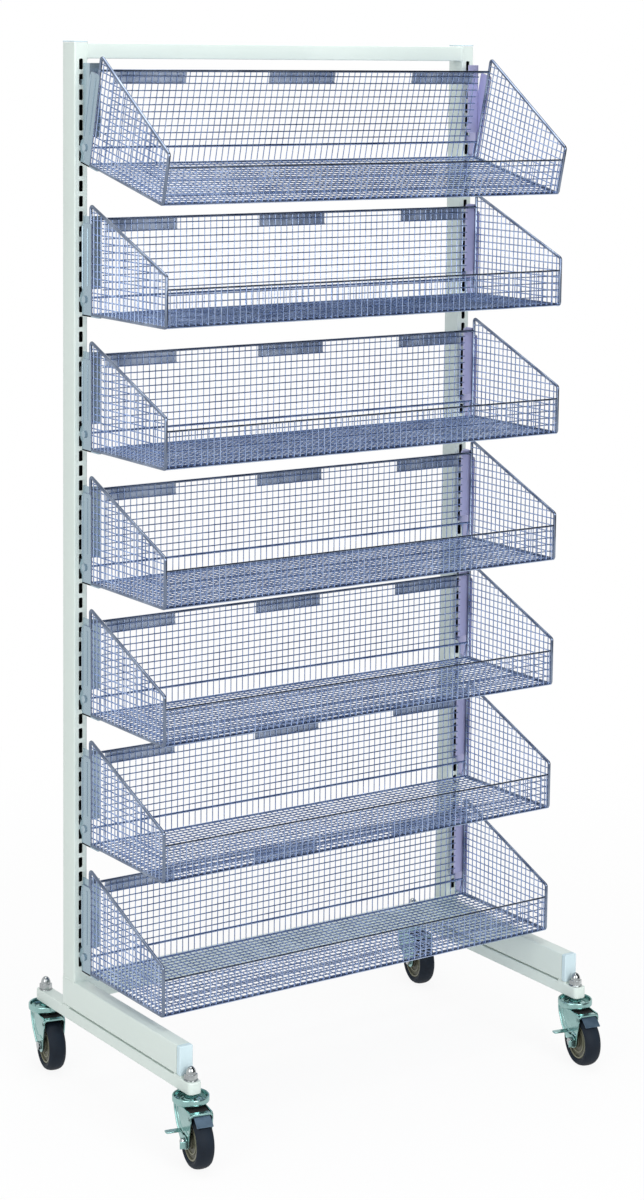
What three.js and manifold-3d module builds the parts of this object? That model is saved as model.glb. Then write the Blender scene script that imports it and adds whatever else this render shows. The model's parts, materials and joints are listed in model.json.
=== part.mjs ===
// Mobile bakery rack: two slotted posts on caster legs, carrying wire baskets on slot brackets.
// Each basket turns on the rivets of its two brackets, from level to tipped forward for display.
// Millimetres, +Z up, +X to the right and the front towards -Y. The frame is laid out from the
// front face of the posts and the floor, and the finished rack is centred over its own footprint.

import * as THREE from 'three';
import { mergeVertices } from 'three/addons/utils/BufferGeometryUtils.js';
import Module from 'manifold-3d';

// Clearances
const SEAT_GAP = 0.3;
const WELD_BITE = 0.7;

// Slotted posts
const POST_SPACING = 800;
const POST_WIDTH = 25;
const POST_DEPTH = 40;
const TUBE_WALL = 1.6;
const SLOT_PITCH = 25;
const SLOT_WIDTH = 8;
const SLOT_HEIGHT = 18;
const TOP_SLOT_DROP = 35;
const FOOT_SLOT_RISE = 35;
const CAP_THICKNESS = 3;
const PLUG_DEPTH = 14;

// Cross beams
const BEAM_DEPTH = 25;
const TOP_BEAM_HEIGHT = 26;
const LOWER_BEAM_HEIGHT = 40;
const LOWER_BEAM_RISE = 5;

// Legs and caster rails
const LEG_HEIGHT = 49;
const LEG_REACH = 345;
const LEG_CAP_DEPTH = 10;
const RAIL_HEIGHT = 20;
const RAIL_GAP = 3;
const RAIL_NOSE = 30;
const RAIL_TAIL = 100;
const RAIL_CORNER = 6;
const PAD_LENGTH = 20;
const STEM_INSET = 16;

// Baskets
const BASKET_COUNT = 7;
const BASKET_DEPTH = 240;
const SIDE_REAR_HEIGHT = 180;
const SIDE_FRONT_HEIGHT = 83;
const BACK_HEIGHT = 157;
const BACK_LOW_WIRE = 28;
const FRONT_HEIGHT = 60;
const NET_THICKNESS = 4;
const RIM_WIDTH = 6;
const BAR_WIDTH = 4;
const LONG_CELLS = 5;
const FLOOR_CELLS = 2;
const SIDE_CELLS = 2;
const BACK_PLATE_COUNT = 3;
const BACK_PLATE_WIDTH = 135;
const BACK_PLATE_HEIGHT = 21;
const BACK_PLATE_SPACING = 300;
const BACK_PLATE_THICKNESS = 1.5;
const SPACE_OVER_BASKET = 38;
const FIRST_BASKET_SLOT = 6;
const TILT_EXTRA_SLOTS = 1;
const TILT_DEGREES = 13;

// Brackets and the hanger plates that turn on them
const BRACKET_SHEET = 2;
const WEB_DEPTH = 28;
const PLATE_STANDOFF = 9;
const WEB_HEAD = 27;
const FLANGE_WIDTH = 20;
const FLANGE_REST_GAP = 1;
const FLOOR_DROP = 10;
const HOOK_SLOTS = [1, 5];
const HOOK_NECK = 9;
const HOOK_TONGUE = 6;
const HOOK_THICKNESS = 3;
const PIVOT_SETBACK = 10;
const PIVOT_RISE = 24;
const PIVOT_RADIUS = 4;
const PIVOT_HEAD = 6;
const TURN_GAP = 0.45;
const LOBE_CLEARANCE = 2;
const HANGER_SHEET = 2;
const HANGER_DEPTH = 30;
const HANGER_HEIGHT = 150;
const TAB_HEEL = 9;
const TAB_TOE = 64;
const TAB_THICKNESS = 2.5;
const TAB_LIP = 3;
const SWING_CLEARANCE = 1.5;

// Casters
const WHEEL_DIAMETER = 90;
const TYRE_WIDTH = 30;
const TYRE_BORE = 64;
const TREAD_FLAT = 5;
const HUB_WIDTH = 30;
const HUB_DISH = 4;
const HUB_BOSS = 24;
const AXLE_DIAMETER = 10;
const AXLE_HEAD = 16;
const AXLE_HEAD_LENGTH = 5;
const TRAIL = 30;
const CROWN_CLEARANCE = 5;
const FORK_SHEET = 3;
const FORK_CLEARANCE = 2;
const CHEEK_SHEET = 2.5;
const CHEEK_FOOT = 10;
const CHEEK_REACH = 20;
const BOWL_DIAMETER = 57;
const BOWL_HEIGHT = 12;
const BOWL_CHAMFER = 4.5;
const HEAD_RISE = 16;
const RACE_DIAMETER = 38;
const RACE_HEIGHT = 6;
const COLLAR_DIAMETER = 22;
const STEM_DIAMETER = 12;
const KING_PIN_HEAD = 18;
const KING_PIN_HEAD_HEIGHT = 3.5;
const NUT_ACROSS_FLATS = 19;
const NUT_HEX_HEIGHT = 10;
const NUT_HEIGHT = 23;
const NUT_DOME = 17;
const NUT_ROOF = 8;
const CASTER_TURN_DEGREES = -11;

// Brakes of the front casters
const BRAKE_PLATE_ANGLE = 24;
const BRAKE_PLATE_LENGTH = 16;
const BRAKE_PLATE_LIFT = 4;
const PEDAL_SHEET = 2.5;
const PEDAL_DISC = 24;
const PEDAL_REACH = 30;
const PEDAL_STEP = 26;
const PEDAL_STEP_DEPTH = 12;
const PEDAL_HEEL_STEP = 14;

// Facets round the turned pieces
const WHEEL_FACETS = 20;
const BOWL_FACETS = 16;
const PIN_FACETS = 10;
const RIVET_FACETS = 8;
const ARC_FACETS = 3;
const DOME_RINGS = 3;

// Heights and slot counts that follow from the sizes above
const radians = THREE.MathUtils.degToRad;
const FORK_FLOOR = WHEEL_DIAMETER + CROWN_CLEARANCE;
const BOWL_FLOOR = FORK_FLOOR + FORK_SHEET;
const RAIL_BOTTOM = BOWL_FLOOR + HEAD_RISE;
const RAIL_TOP = RAIL_BOTTOM + RAIL_HEIGHT;
const LEG_BOTTOM = RAIL_TOP + RAIL_GAP;
const LEG_TOP = LEG_BOTTOM + LEG_HEIGHT;
const BASKET_STEP_SLOTS = Math.ceil((SIDE_REAR_HEIGHT + SPACE_OVER_BASKET) / SLOT_PITCH);
const LAST_SLOT = FIRST_BASKET_SLOT + TILT_EXTRA_SLOTS + (BASKET_COUNT - 1) * BASKET_STEP_SLOTS;
const TOP_SLOT = LEG_TOP + FOOT_SLOT_RISE + LAST_SLOT * SLOT_PITCH;
const POST_TOP = TOP_SLOT + TOP_SLOT_DROP;
const PIVOT_Y = PIVOT_SETBACK - WEB_DEPTH;
const BASKET_REAR = -(WEB_DEPTH + BRACKET_SHEET + FLANGE_REST_GAP + NET_THICKNESS / 2);
const BASKET_FRONT = BASKET_REAR - BASKET_DEPTH;
const HANGER_SEAT = BRACKET_SHEET / 2 + SEAT_GAP;
const SIDE_NET_X = POST_SPACING / 2 + HANGER_SEAT + WELD_BITE - NET_THICKNESS / 2;
const LOBE_RADIUS = -PIVOT_Y - LOBE_CLEARANCE;

const wasm = await Module();
wasm.setup();

const paint = { color: 0xdfe6de, roughness: 0.45, metalness: 0.1 };
const capPlastic = { color: 0xe9efee, roughness: 0.5, metalness: 0 };
const brightWire = { color: 0xc9d2da, roughness: 0.25, metalness: 0.9 };
const platedSheet = { color: 0xb6bedb, roughness: 0.35, metalness: 0.7 };
const zincPlate = { color: 0x8fb0b0, roughness: 0.35, metalness: 0.8 };
const chromeSteel = { color: 0xb9bcbc, roughness: 0.15, metalness: 1 };
const hubPlastic = { color: 0x4a4b40, roughness: 0.6, metalness: 0 };
const tyreRubber = { color: 0x23293a, roughness: 0.75, metalness: 0 };

// A closed surface becomes a solid: seams joined, empty triangles dropped, faces turned outward.
function solid(geometry) {
  geometry.deleteAttribute('normal');
  geometry.deleteAttribute('uv');
  const joined = mergeVertices(geometry);
  const corners = joined.getIndex().array;
  const points = joined.getAttribute('position').array;
  const triangles = [];
  let signedVolume = 0;
  const [a, b, c] = [new THREE.Vector3(), new THREE.Vector3(), new THREE.Vector3()];
  for (let i = 0; i < corners.length; i += 3) {
    const [p, q, r] = corners.slice(i, i + 3);
    if (p !== q && q !== r && r !== p) {
      triangles.push(p, q, r);
      a.fromArray(points, p * 3);
      b.fromArray(points, q * 3);
      c.fromArray(points, r * 3);
      signedVolume += a.dot(b.cross(c));
    }
  }
  if (signedVolume < 0) {
    triangles.reverse();
  }
  const surface = new wasm.Mesh({
    numProp: 3,
    vertProperties: new Float32Array(points),
    triVerts: new Uint32Array(triangles),
  });
  return new wasm.Manifold(surface);
}

function joinAll(solids) {
  return solids.reduce((whole, piece) => whole.add(piece));
}

function cutAll(body, cutters) {
  return cutters.reduce((rest, cutter) => rest.subtract(cutter), body);
}

// Box between two opposite corners.
function box(from, to) {
  const low = new THREE.Vector3(...from);
  const high = new THREE.Vector3(...to);
  const size = high.clone().sub(low);
  const geometry = new THREE.BoxGeometry(Math.abs(size.x), Math.abs(size.y), Math.abs(size.z));
  const centre = low.add(high).multiplyScalar(1 / 2);
  geometry.translate(centre.x, centre.y, centre.z);
  return solid(geometry);
}

// Outline drawn in X and Y, standing from one height to another.
function standing(shape, zLow, zHigh) {
  const options = { depth: zHigh - zLow, bevelEnabled: false, curveSegments: ARC_FACETS };
  const geometry = new THREE.ExtrudeGeometry(shape, options);
  geometry.translate(0, 0, zLow);
  return solid(geometry);
}

// Outline drawn in Y and Z, reaching from one X to another.
function crosswise(shape, xFrom, xTo) {
  const options = { depth: Math.abs(xTo - xFrom), bevelEnabled: false, curveSegments: ARC_FACETS };
  const geometry = new THREE.ExtrudeGeometry(shape, options);
  const turn = new THREE.Matrix4().makeBasis(
    new THREE.Vector3(0, 1, 0),
    new THREE.Vector3(0, 0, 1),
    new THREE.Vector3(1, 0, 0),
  );
  geometry.applyMatrix4(turn);
  geometry.translate(Math.min(xFrom, xTo), 0, 0);
  return solid(geometry);
}

// Turned piece about Z, from a profile of radius and height pairs. Facets lie flat to the axes.
function turned(profile, facets) {
  const stretch = 1 / Math.cos(Math.PI / facets);
  const points = profile.map(([radius, height]) => new THREE.Vector2(radius * stretch, height));
  const geometry = new THREE.LatheGeometry(points, facets, Math.PI / facets);
  geometry.rotateX(Math.PI / 2);
  return geometry;
}

function turnedUpright(profile, facets) {
  return solid(turned(profile, facets));
}

// The same about an axle along X through a point given by its Y and Z.
function turnedOnAxle(profile, facets, y = 0, z = 0) {
  const geometry = turned(profile, facets);
  geometry.rotateY(Math.PI / 2);
  geometry.translate(0, y, z);
  return solid(geometry);
}

function rodProfile(radius, from, to) {
  return [[0, from], [radius, from], [radius, to], [0, to]];
}

function outline(corners) {
  return new THREE.Shape(corners.map(([u, v]) => new THREE.Vector2(u, v)));
}

function evenLines(from, to, cells) {
  return Array.from({ length: cells + 1 }, (_, i) => from + ((to - from) * i) / cells);
}

function named(name, piece, finish) {
  const surface = piece.getMesh();
  const geometry = new THREE.BufferGeometry();
  const positions = new Float32Array(surface.vertProperties);
  geometry.setAttribute('position', new THREE.BufferAttribute(positions, 3));
  geometry.setIndex(new THREE.BufferAttribute(new Uint32Array(surface.triVerts), 1));
  const material = new THREE.MeshStandardMaterial({ ...finish, flatShading: true });
  const mesh = new THREE.Mesh(geometry, material);
  mesh.name = name;
  return mesh;
}

// Post: box tube open at both ends, with a row of slots in its front wall.
function postSolid() {
  const half = POST_WIDTH / 2;
  const hollow = box(
    [-half + TUBE_WALL, TUBE_WALL, LEG_TOP - TUBE_WALL],
    [half - TUBE_WALL, POST_DEPTH - TUBE_WALL, POST_TOP + TUBE_WALL],
  );
  const slots = [];
  for (let slot = 0; slot <= LAST_SLOT; slot += 1) {
    const middle = TOP_SLOT - slot * SLOT_PITCH;
    slots.push(box(
      [-SLOT_WIDTH / 2, -TUBE_WALL, middle - SLOT_HEIGHT / 2],
      [SLOT_WIDTH / 2, 2 * TUBE_WALL, middle + SLOT_HEIGHT / 2],
    ));
  }
  const tube = box([-half, 0, LEG_TOP], [half, POST_DEPTH, POST_TOP]);
  return cutAll(tube, [hollow, ...slots]);
}

// Cap that covers the post's top, with a plug inside the tube.
function postCapSolid() {
  const half = POST_WIDTH / 2;
  const inset = TUBE_WALL + SEAT_GAP;
  const cover = box([-half, 0, POST_TOP], [half, POST_DEPTH, POST_TOP + CAP_THICKNESS]);
  const plug = box(
    [-half + inset, inset, POST_TOP - PLUG_DEPTH],
    [half - inset, POST_DEPTH - inset, POST_TOP + CAP_THICKNESS / 2],
  );
  return cover.add(plug);
}

// Beam: box tube from post to post.
function beamSolid(zLow, zHigh) {
  const end = (POST_SPACING - POST_WIDTH) / 2;
  const tube = box([-end, 0, zLow], [end, BEAM_DEPTH, zHigh]);
  const hollow = box(
    [-end - TUBE_WALL, TUBE_WALL, zLow + TUBE_WALL],
    [end + TUBE_WALL, BEAM_DEPTH - TUBE_WALL, zHigh - TUBE_WALL],
  );
  return tube.subtract(hollow);
}

// Leg: box tube under the post, open to the front and closed at the rear.
function legSolid() {
  const half = POST_WIDTH / 2;
  const mouth = LEG_CAP_DEPTH - LEG_REACH;
  const tube = box([-half, mouth, LEG_BOTTOM], [half, POST_DEPTH, LEG_TOP]);
  const hollow = box(
    [-half + TUBE_WALL, mouth - TUBE_WALL, LEG_BOTTOM + TUBE_WALL],
    [half - TUBE_WALL, POST_DEPTH - TUBE_WALL, LEG_TOP - TUBE_WALL],
  );
  return tube.subtract(hollow);
}

function legCapSolid() {
  const half = POST_WIDTH / 2;
  const inset = TUBE_WALL + SEAT_GAP;
  const mouth = LEG_CAP_DEPTH - LEG_REACH;
  const cover = box([-half, -LEG_REACH, LEG_BOTTOM], [half, mouth, LEG_TOP]);
  const plug = box(
    [-half + inset, mouth - LEG_CAP_DEPTH / 2, LEG_BOTTOM + inset],
    [half - inset, mouth + PLUG_DEPTH, LEG_TOP - inset],
  );
  return cover.add(plug);
}

const RAIL_FRONT_Y = -(LEG_REACH + RAIL_NOSE);
const RAIL_BACK_Y = POST_DEPTH + RAIL_TAIL;
const FRONT_STEM_Y = RAIL_FRONT_Y + STEM_INSET;
const REAR_STEM_Y = RAIL_BACK_Y - STEM_INSET;

// Rail: a bar with rounded corners, welded to the leg at two pads, with a hole for each stem.
function railSolid() {
  const half = POST_WIDTH / 2;
  const plan = new THREE.Shape();
  plan.absarc(half - RAIL_CORNER, RAIL_BACK_Y - RAIL_CORNER, RAIL_CORNER, 0, Math.PI / 2);
  plan.absarc(-half + RAIL_CORNER, RAIL_BACK_Y - RAIL_CORNER, RAIL_CORNER, Math.PI / 2, Math.PI);
  plan.absarc(-half + RAIL_CORNER, RAIL_FRONT_Y + RAIL_CORNER, RAIL_CORNER, Math.PI, 1.5 * Math.PI);
  plan.absarc(half - RAIL_CORNER, RAIL_FRONT_Y + RAIL_CORNER, RAIL_CORNER, 1.5 * Math.PI, 2 * Math.PI);
  const bar = standing(plan, RAIL_BOTTOM, RAIL_TOP);
  const pads = [-LEG_REACH, POST_DEPTH - PAD_LENGTH].map((front) => box(
    [-half, front, RAIL_TOP - WELD_BITE],
    [half, front + PAD_LENGTH, LEG_BOTTOM],
  ));
  const profile = rodProfile(STEM_DIAMETER / 2 + SEAT_GAP, RAIL_BOTTOM - RAIL_GAP, LEG_BOTTOM);
  const stemHoles = [FRONT_STEM_Y, REAR_STEM_Y].map(
    (y) => turnedUpright(profile, PIN_FACETS).translate(0, y, 0),
  );
  return cutAll(joinAll([bar, ...pads]), stemHoles);
}

// How high the heel of a hanger's tab comes over the basket's floor at full tilt.
function heelRise() {
  const behind = -TAB_HEEL - PIVOT_Y;
  const below = PIVOT_RISE + NET_THICKNESS / 2 - WELD_BITE;
  const tilt = radians(TILT_DEGREES);
  return PIVOT_RISE + behind * Math.sin(tilt) - below * Math.cos(tilt);
}

// Bracket, drawn about its slot line: a web with hooks, a front flange and the pivot rivet. The web
// stands off the post, so that only the necks of its hooks cover the slots.
// Inward is +1 on the left post and -1 on the right one.
function bracketSolid(inward) {
  const webFoot = heelRise() + SWING_CLEARANCE;
  const toeCut = PIVOT_RISE * Math.sin(radians(TILT_DEGREES)) + SWING_CLEARANCE;
  const hookHeights = HOOK_SLOTS.map((slots) => FLOOR_DROP + slots * SLOT_PITCH);
  const webTop = hookHeights.at(-1) + WEB_HEAD;
  const edge = [
    [-WEB_DEPTH, webTop],
    [-WEB_DEPTH, PIVOT_RISE],
    [-WEB_DEPTH + toeCut, webFoot],
    [-PLATE_STANDOFF, webFoot],
  ];
  for (const height of hookHeights) {
    const neckLow = height - SLOT_HEIGHT / 2 + SEAT_GAP;
    const behindWall = TUBE_WALL + SEAT_GAP;
    edge.push(
      [-PLATE_STANDOFF, neckLow],
      [behindWall, neckLow],
      [behindWall, neckLow - HOOK_TONGUE],
      [behindWall + HOOK_THICKNESS, neckLow - HOOK_TONGUE],
      [behindWall + HOOK_THICKNESS, neckLow + HOOK_NECK],
      [-PLATE_STANDOFF, neckLow + HOOK_NECK],
    );
  }
  edge.push([-PLATE_STANDOFF, webTop]);
  const web = crosswise(outline(edge), -BRACKET_SHEET / 2, BRACKET_SHEET / 2);
  const flangeFoot = PIVOT_RISE + LOBE_RADIUS + SWING_CLEARANCE;
  const flange = box(
    [-inward * BRACKET_SHEET / 2, -WEB_DEPTH - BRACKET_SHEET, flangeFoot],
    [inward * FLANGE_WIDTH, -WEB_DEPTH + WELD_BITE, webTop],
  );
  const headSeat = HANGER_SEAT + HANGER_SHEET + SEAT_GAP;
  const rivet = turnedOnAxle(
    [[0, 0], [PIVOT_RADIUS, 0], [PIVOT_RADIUS, headSeat], [PIVOT_HEAD, headSeat],
      [PIVOT_HEAD, headSeat + BRACKET_SHEET], [0, headSeat + BRACKET_SHEET]],
    RIVET_FACETS,
  );
  const rivetOutward = inward > 0 ? rivet.mirror([1, 0, 0]) : rivet;
  return joinAll([web, flange, rivetOutward.translate(0, PIVOT_Y, PIVOT_RISE)]);
}

// Panel of welded bars on crossing lines, with a gap in each cell. Its first lines lie in the
// neighbouring panels, and its last row is a bar of its own half width or lies in a neighbour too.
// The slab function makes a piece of the panel from two corners and half a thickness.
function panelSolid(columns, rows, lastBar, slab) {
  const wall = NET_THICKNESS / 2;
  const after = (lines, i) => lines[i] + (i === 0 ? wall : BAR_WIDTH / 2);
  const before = (lines, i, edge) => lines[i] - (i === lines.length - 1 ? edge : BAR_WIDTH / 2);
  const gaps = [];
  for (let i = 0; i + 1 < columns.length; i += 1) {
    for (let j = 0; j + 1 < rows.length; j += 1) {
      gaps.push(slab(
        [after(columns, i), after(rows, j)],
        [before(columns, i + 1, wall), before(rows, j + 1, lastBar)],
        NET_THICKNESS,
      ));
    }
  }
  const sheet = slab([columns[0], rows[0] - wall], [columns.at(-1), rows.at(-1) + lastBar], wall);
  return cutAll(sheet, gaps);
}

function levelSlab([u, v], [uEnd, vEnd], half) {
  return box([u, v, -half], [uEnd, vEnd, half]);
}

function uprightSlab(y) {
  return ([u, v], [uEnd, vEnd], half) => box([u, y - half, v], [uEnd, y + half, vEnd]);
}

// Side panel: a wide bar round the edge, whose top falls from the rear corner to the front one.
function sideSolid(middle) {
  const wall = NET_THICKNESS / 2;
  const rim = RIM_WIDTH - wall;
  const fall = (SIDE_REAR_HEIGHT - SIDE_FRONT_HEIGHT) / BASKET_DEPTH;
  const topLine = (y) => SIDE_REAR_HEIGHT - fall * (BASKET_REAR - y);
  const topHalfBar = (RIM_WIDTH / 2) * Math.hypot(1, fall);
  const slab = (front, rear, low, rise, half) => crosswise(outline([
    [front, low],
    [rear, low],
    [rear, topLine(rear) + rise],
    [front, topLine(front) + rise],
  ]), middle - half, middle + half);
  const lines = evenLines(BASKET_FRONT, BASKET_REAR, SIDE_CELLS);
  const gaps = [];
  for (let i = 0; i < SIDE_CELLS; i += 1) {
    const front = lines[i] + (i === 0 ? rim : BAR_WIDTH / 2);
    const rear = lines[i + 1] - (i + 1 === SIDE_CELLS ? rim : BAR_WIDTH / 2);
    gaps.push(slab(front, rear, rim, -topHalfBar, NET_THICKNESS));
  }
  return cutAll(slab(BASKET_FRONT - wall, BASKET_REAR + wall, -wall, topHalfBar, wall), gaps);
}

// Hanger plate: it lies beside the bracket, with a lobe round the pivot and its front edge welded
// to the rear of the basket's side.
function hangerShape() {
  const heel = -TAB_HEEL;
  const foot = -NET_THICKNESS / 2 + WELD_BITE - TAB_THICKNESS;
  const plateRear = -PLATE_STANDOFF;
  const plateFront = plateRear - HANGER_DEPTH;
  const startAngle = -Math.acos((heel - PIVOT_Y) / LOBE_RADIUS);
  const shape = new THREE.Shape();
  shape.moveTo(heel, foot);
  const endAngle = Math.acos((plateRear - PIVOT_Y) / LOBE_RADIUS);
  shape.absarc(PIVOT_Y, PIVOT_RISE, LOBE_RADIUS, startAngle, endAngle);
  shape.lineTo(plateRear, HANGER_HEIGHT);
  shape.lineTo(plateFront, HANGER_HEIGHT);
  shape.lineTo(plateFront, foot);
  return shape;
}

// Basket, drawn from the post face and from the middle of its floor bars, hangers welded on.
function basketSolid() {
  const columns = evenLines(-SIDE_NET_X, SIDE_NET_X, LONG_CELLS);
  const floorRows = evenLines(BASKET_FRONT, BASKET_REAR, FLOOR_CELLS);
  const backRows = [0, BACK_LOW_WIRE, BACK_HEIGHT];
  const pieces = [
    panelSolid(columns, floorRows, NET_THICKNESS / 2, levelSlab),
    panelSolid(columns, backRows, RIM_WIDTH / 2, uprightSlab(BASKET_REAR)),
    panelSolid(columns, [0, FRONT_HEIGHT], RIM_WIDTH / 2, uprightSlab(BASKET_FRONT)),
  ];
  const plateRear = BASKET_REAR + NET_THICKNESS / 2 + BACK_PLATE_THICKNESS - WELD_BITE;
  for (let i = 0; i < BACK_PLATE_COUNT; i += 1) {
    const middle = (i - (BACK_PLATE_COUNT - 1) / 2) * BACK_PLATE_SPACING;
    const top = BACK_HEIGHT;
    pieces.push(box(
      [middle - BACK_PLATE_WIDTH / 2, plateRear - BACK_PLATE_THICKNESS, top - BACK_PLATE_HEIGHT],
      [middle + BACK_PLATE_WIDTH / 2, plateRear, top],
    ));
  }
  for (const inward of [1, -1]) {
    const slotLine = -inward * POST_SPACING / 2;
    pieces.push(sideSolid(-inward * SIDE_NET_X));
    const hangerInner = slotLine - inward * HANGER_SEAT;
    const hangerOuter = hangerInner - inward * HANGER_SHEET;
    pieces.push(crosswise(hangerShape(), hangerInner, hangerOuter));
    const tabTop = -NET_THICKNESS / 2 + WELD_BITE;
    pieces.push(box(
      [slotLine + inward * TAB_LIP, -TAB_TOE, tabTop - TAB_THICKNESS],
      [hangerOuter, -TAB_HEEL, tabTop],
    ));
  }
  const hole = turnedOnAxle(
    rodProfile(PIVOT_RADIUS + TURN_GAP, -POST_SPACING, POST_SPACING),
    RIVET_FACETS,
    PIVOT_Y,
    PIVOT_RISE,
  );
  return joinAll(pieces).subtract(hole);
}

// Nut: a hexagon under a dome, threaded blind from below.
function acornNutSolid() {
  const corner = NUT_ACROSS_FLATS / 2 / Math.cos(Math.PI / 6);
  const hexagon = new THREE.CylinderGeometry(corner, corner, NUT_HEX_HEIGHT, 6);
  hexagon.rotateX(Math.PI / 2);
  hexagon.translate(0, 0, NUT_HEX_HEIGHT / 2);
  const dome = [[0, WELD_BITE], [NUT_DOME / 2, WELD_BITE]];
  for (let i = 0; i < DOME_RINGS; i += 1) {
    const angle = (i / DOME_RINGS) * (Math.PI / 2);
    const rise = (NUT_HEIGHT - NUT_HEX_HEIGHT) * Math.sin(angle);
    dome.push([(NUT_DOME / 2) * Math.cos(angle), NUT_HEX_HEIGHT + rise]);
  }
  dome.push([0, NUT_HEIGHT]);
  const thread = rodProfile(STEM_DIAMETER / 2 + SEAT_GAP, -NUT_ROOF, NUT_HEIGHT - NUT_ROOF);
  return solid(hexagon)
    .add(turnedUpright(dome, PIN_FACETS))
    .subtract(turnedUpright(thread, PIN_FACETS));
}

// Swivel head: king pin under the bowl, race on its floor, collar under the rail and the stem.
function swivelHeadSolid() {
  const pin = STEM_DIAMETER / 2;
  const raceFoot = BOWL_FLOOR + SEAT_GAP;
  const pinHead = FORK_FLOOR - SEAT_GAP;
  const stemTop = RAIL_TOP + NUT_HEIGHT - NUT_ROOF - SEAT_GAP;
  return turnedUpright([
    [0, pinHead - KING_PIN_HEAD_HEIGHT],
    [KING_PIN_HEAD / 2, pinHead - KING_PIN_HEAD_HEIGHT],
    [KING_PIN_HEAD / 2, pinHead],
    [pin, pinHead],
    [pin, raceFoot],
    [RACE_DIAMETER / 2, raceFoot],
    [RACE_DIAMETER / 2, raceFoot + RACE_HEIGHT],
    [COLLAR_DIAMETER / 2, raceFoot + RACE_HEIGHT],
    [COLLAR_DIAMETER / 2, RAIL_BOTTOM],
    [pin, RAIL_BOTTOM],
    [pin, stemTop],
    [0, stemTop],
  ], PIN_FACETS);
}

const AXLE_Z = WHEEL_DIAMETER / 2;
const CHEEK_INNER = HUB_WIDTH / 2 + FORK_CLEARANCE;
const CHEEK_OUTER = CHEEK_INNER + CHEEK_SHEET;

// Cheek of the fork, from the bowl down and forward to the axle.
function cheekShape() {
  const rear = BOWL_DIAMETER / 2 - BOWL_CHAMFER - CROWN_CLEARANCE;
  const nose = -TRAIL - CHEEK_REACH;
  const top = FORK_FLOOR + FORK_SHEET / 2;
  const shape = new THREE.Shape();
  shape.moveTo(rear, top);
  shape.lineTo(nose, top);
  shape.lineTo(nose, AXLE_Z + CHEEK_REACH);
  shape.absarc(-TRAIL, AXLE_Z, CHEEK_FOOT, Math.PI, 2 * Math.PI);
  shape.lineTo(rear, AXLE_Z + CHEEK_REACH);
  return shape;
}

// Brake plate of a front caster: held between the cheeks, just over the front of the tread.
function brakePlateSolid() {
  const radius = WHEEL_DIAMETER / 2 + BRAKE_PLATE_LIFT;
  const plate = box(
    [-CHEEK_INNER - CHEEK_SHEET / 2, -BRAKE_PLATE_LENGTH / 2, radius],
    [CHEEK_INNER + CHEEK_SHEET / 2, BRAKE_PLATE_LENGTH / 2, radius + CHEEK_SHEET],
  );
  return plate.rotate([BRAKE_PLATE_ANGLE, 0, 0]).translate(0, -TRAIL, AXLE_Z);
}

// Fork: bowl round the swivel head, roof over the wheel and a cheek on each side of it.
function forkSolid(braked) {
  const outer = BOWL_DIAMETER / 2;
  const inner = outer - FORK_SHEET;
  const bore = STEM_DIAMETER / 2 + TURN_GAP;
  const rim = BOWL_FLOOR + BOWL_HEIGHT;
  const bowl = turnedUpright([
    [bore, FORK_FLOOR],
    [outer - BOWL_CHAMFER, FORK_FLOOR],
    [outer, FORK_FLOOR + BOWL_CHAMFER],
    [outer, rim],
    [inner, rim],
    [inner, BOWL_FLOOR + BOWL_CHAMFER],
    [inner - BOWL_CHAMFER, BOWL_FLOOR],
    [bore, BOWL_FLOOR],
    [bore, FORK_FLOOR],
  ], BOWL_FACETS);
  const roof = box(
    [-CHEEK_OUTER, -TRAIL - CHEEK_REACH, FORK_FLOOR],
    [CHEEK_OUTER, -COLLAR_DIAMETER / 2, FORK_FLOOR + FORK_SHEET / 2],
  );
  const cheeks = [-CHEEK_OUTER, CHEEK_INNER].map(
    (x) => crosswise(cheekShape(), x, x + CHEEK_SHEET),
  );
  const axleHole = turnedOnAxle(
    rodProfile(AXLE_DIAMETER / 2 + SEAT_GAP, -TYRE_WIDTH, TYRE_WIDTH),
    PIN_FACETS,
    -TRAIL,
    AXLE_Z,
  );
  const pieces = braked ? [bowl, roof, ...cheeks, brakePlateSolid()] : [bowl, roof, ...cheeks];
  return joinAll(pieces).subtract(axleHole);
}

// Axle bolt with a head at each end. A braked one is longer, to hold the pedal on the left.
function axleSolid(braked) {
  const radius = AXLE_DIAMETER / 2;
  const head = AXLE_HEAD / 2;
  const right = CHEEK_OUTER + SEAT_GAP;
  const left = -right - (braked ? PEDAL_SHEET + SEAT_GAP : 0);
  return turnedOnAxle([
    [0, left - AXLE_HEAD_LENGTH],
    [head, left - AXLE_HEAD_LENGTH],
    [head, left],
    [radius, left],
    [radius, right],
    [head, right],
    [head, right + AXLE_HEAD_LENGTH],
    [0, right + AXLE_HEAD_LENGTH],
  ], PIN_FACETS);
}

// Hub: a dished disc with a boss that runs on the axle.
function hubSolid() {
  const bore = AXLE_DIAMETER / 2 + TURN_GAP;
  const boss = HUB_BOSS / 2;
  const rim = TYRE_BORE / 2 - SEAT_GAP;
  const half = HUB_WIDTH / 2;
  const disc = half - HUB_DISH;
  return turnedOnAxle([
    [bore, -half],
    [boss, -half],
    [boss, -disc],
    [rim, -disc],
    [rim, disc],
    [boss, disc],
    [boss, half],
    [bore, half],
    [bore, -half],
  ], WHEEL_FACETS);
}

// Tyre: a ring with a crowned tread.
function tyreSolid() {
  const bore = TYRE_BORE / 2;
  const tread = WHEEL_DIAMETER / 2;
  const wall = TYRE_WIDTH / 2;
  const flat = TREAD_FLAT / 2;
  const thickness = tread - bore;
  const shoulder = tread - thickness / 3;
  const bead = wall - HUB_DISH / 2;
  return turnedOnAxle([
    [bore, -bead],
    [bore + thickness / 3, -wall],
    [shoulder, -wall],
    [tread, -flat],
    [tread, flat],
    [shoulder, wall],
    [bore + thickness / 3, wall],
    [bore, bead],
    [bore, -bead],
  ], WHEEL_FACETS);
}

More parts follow.
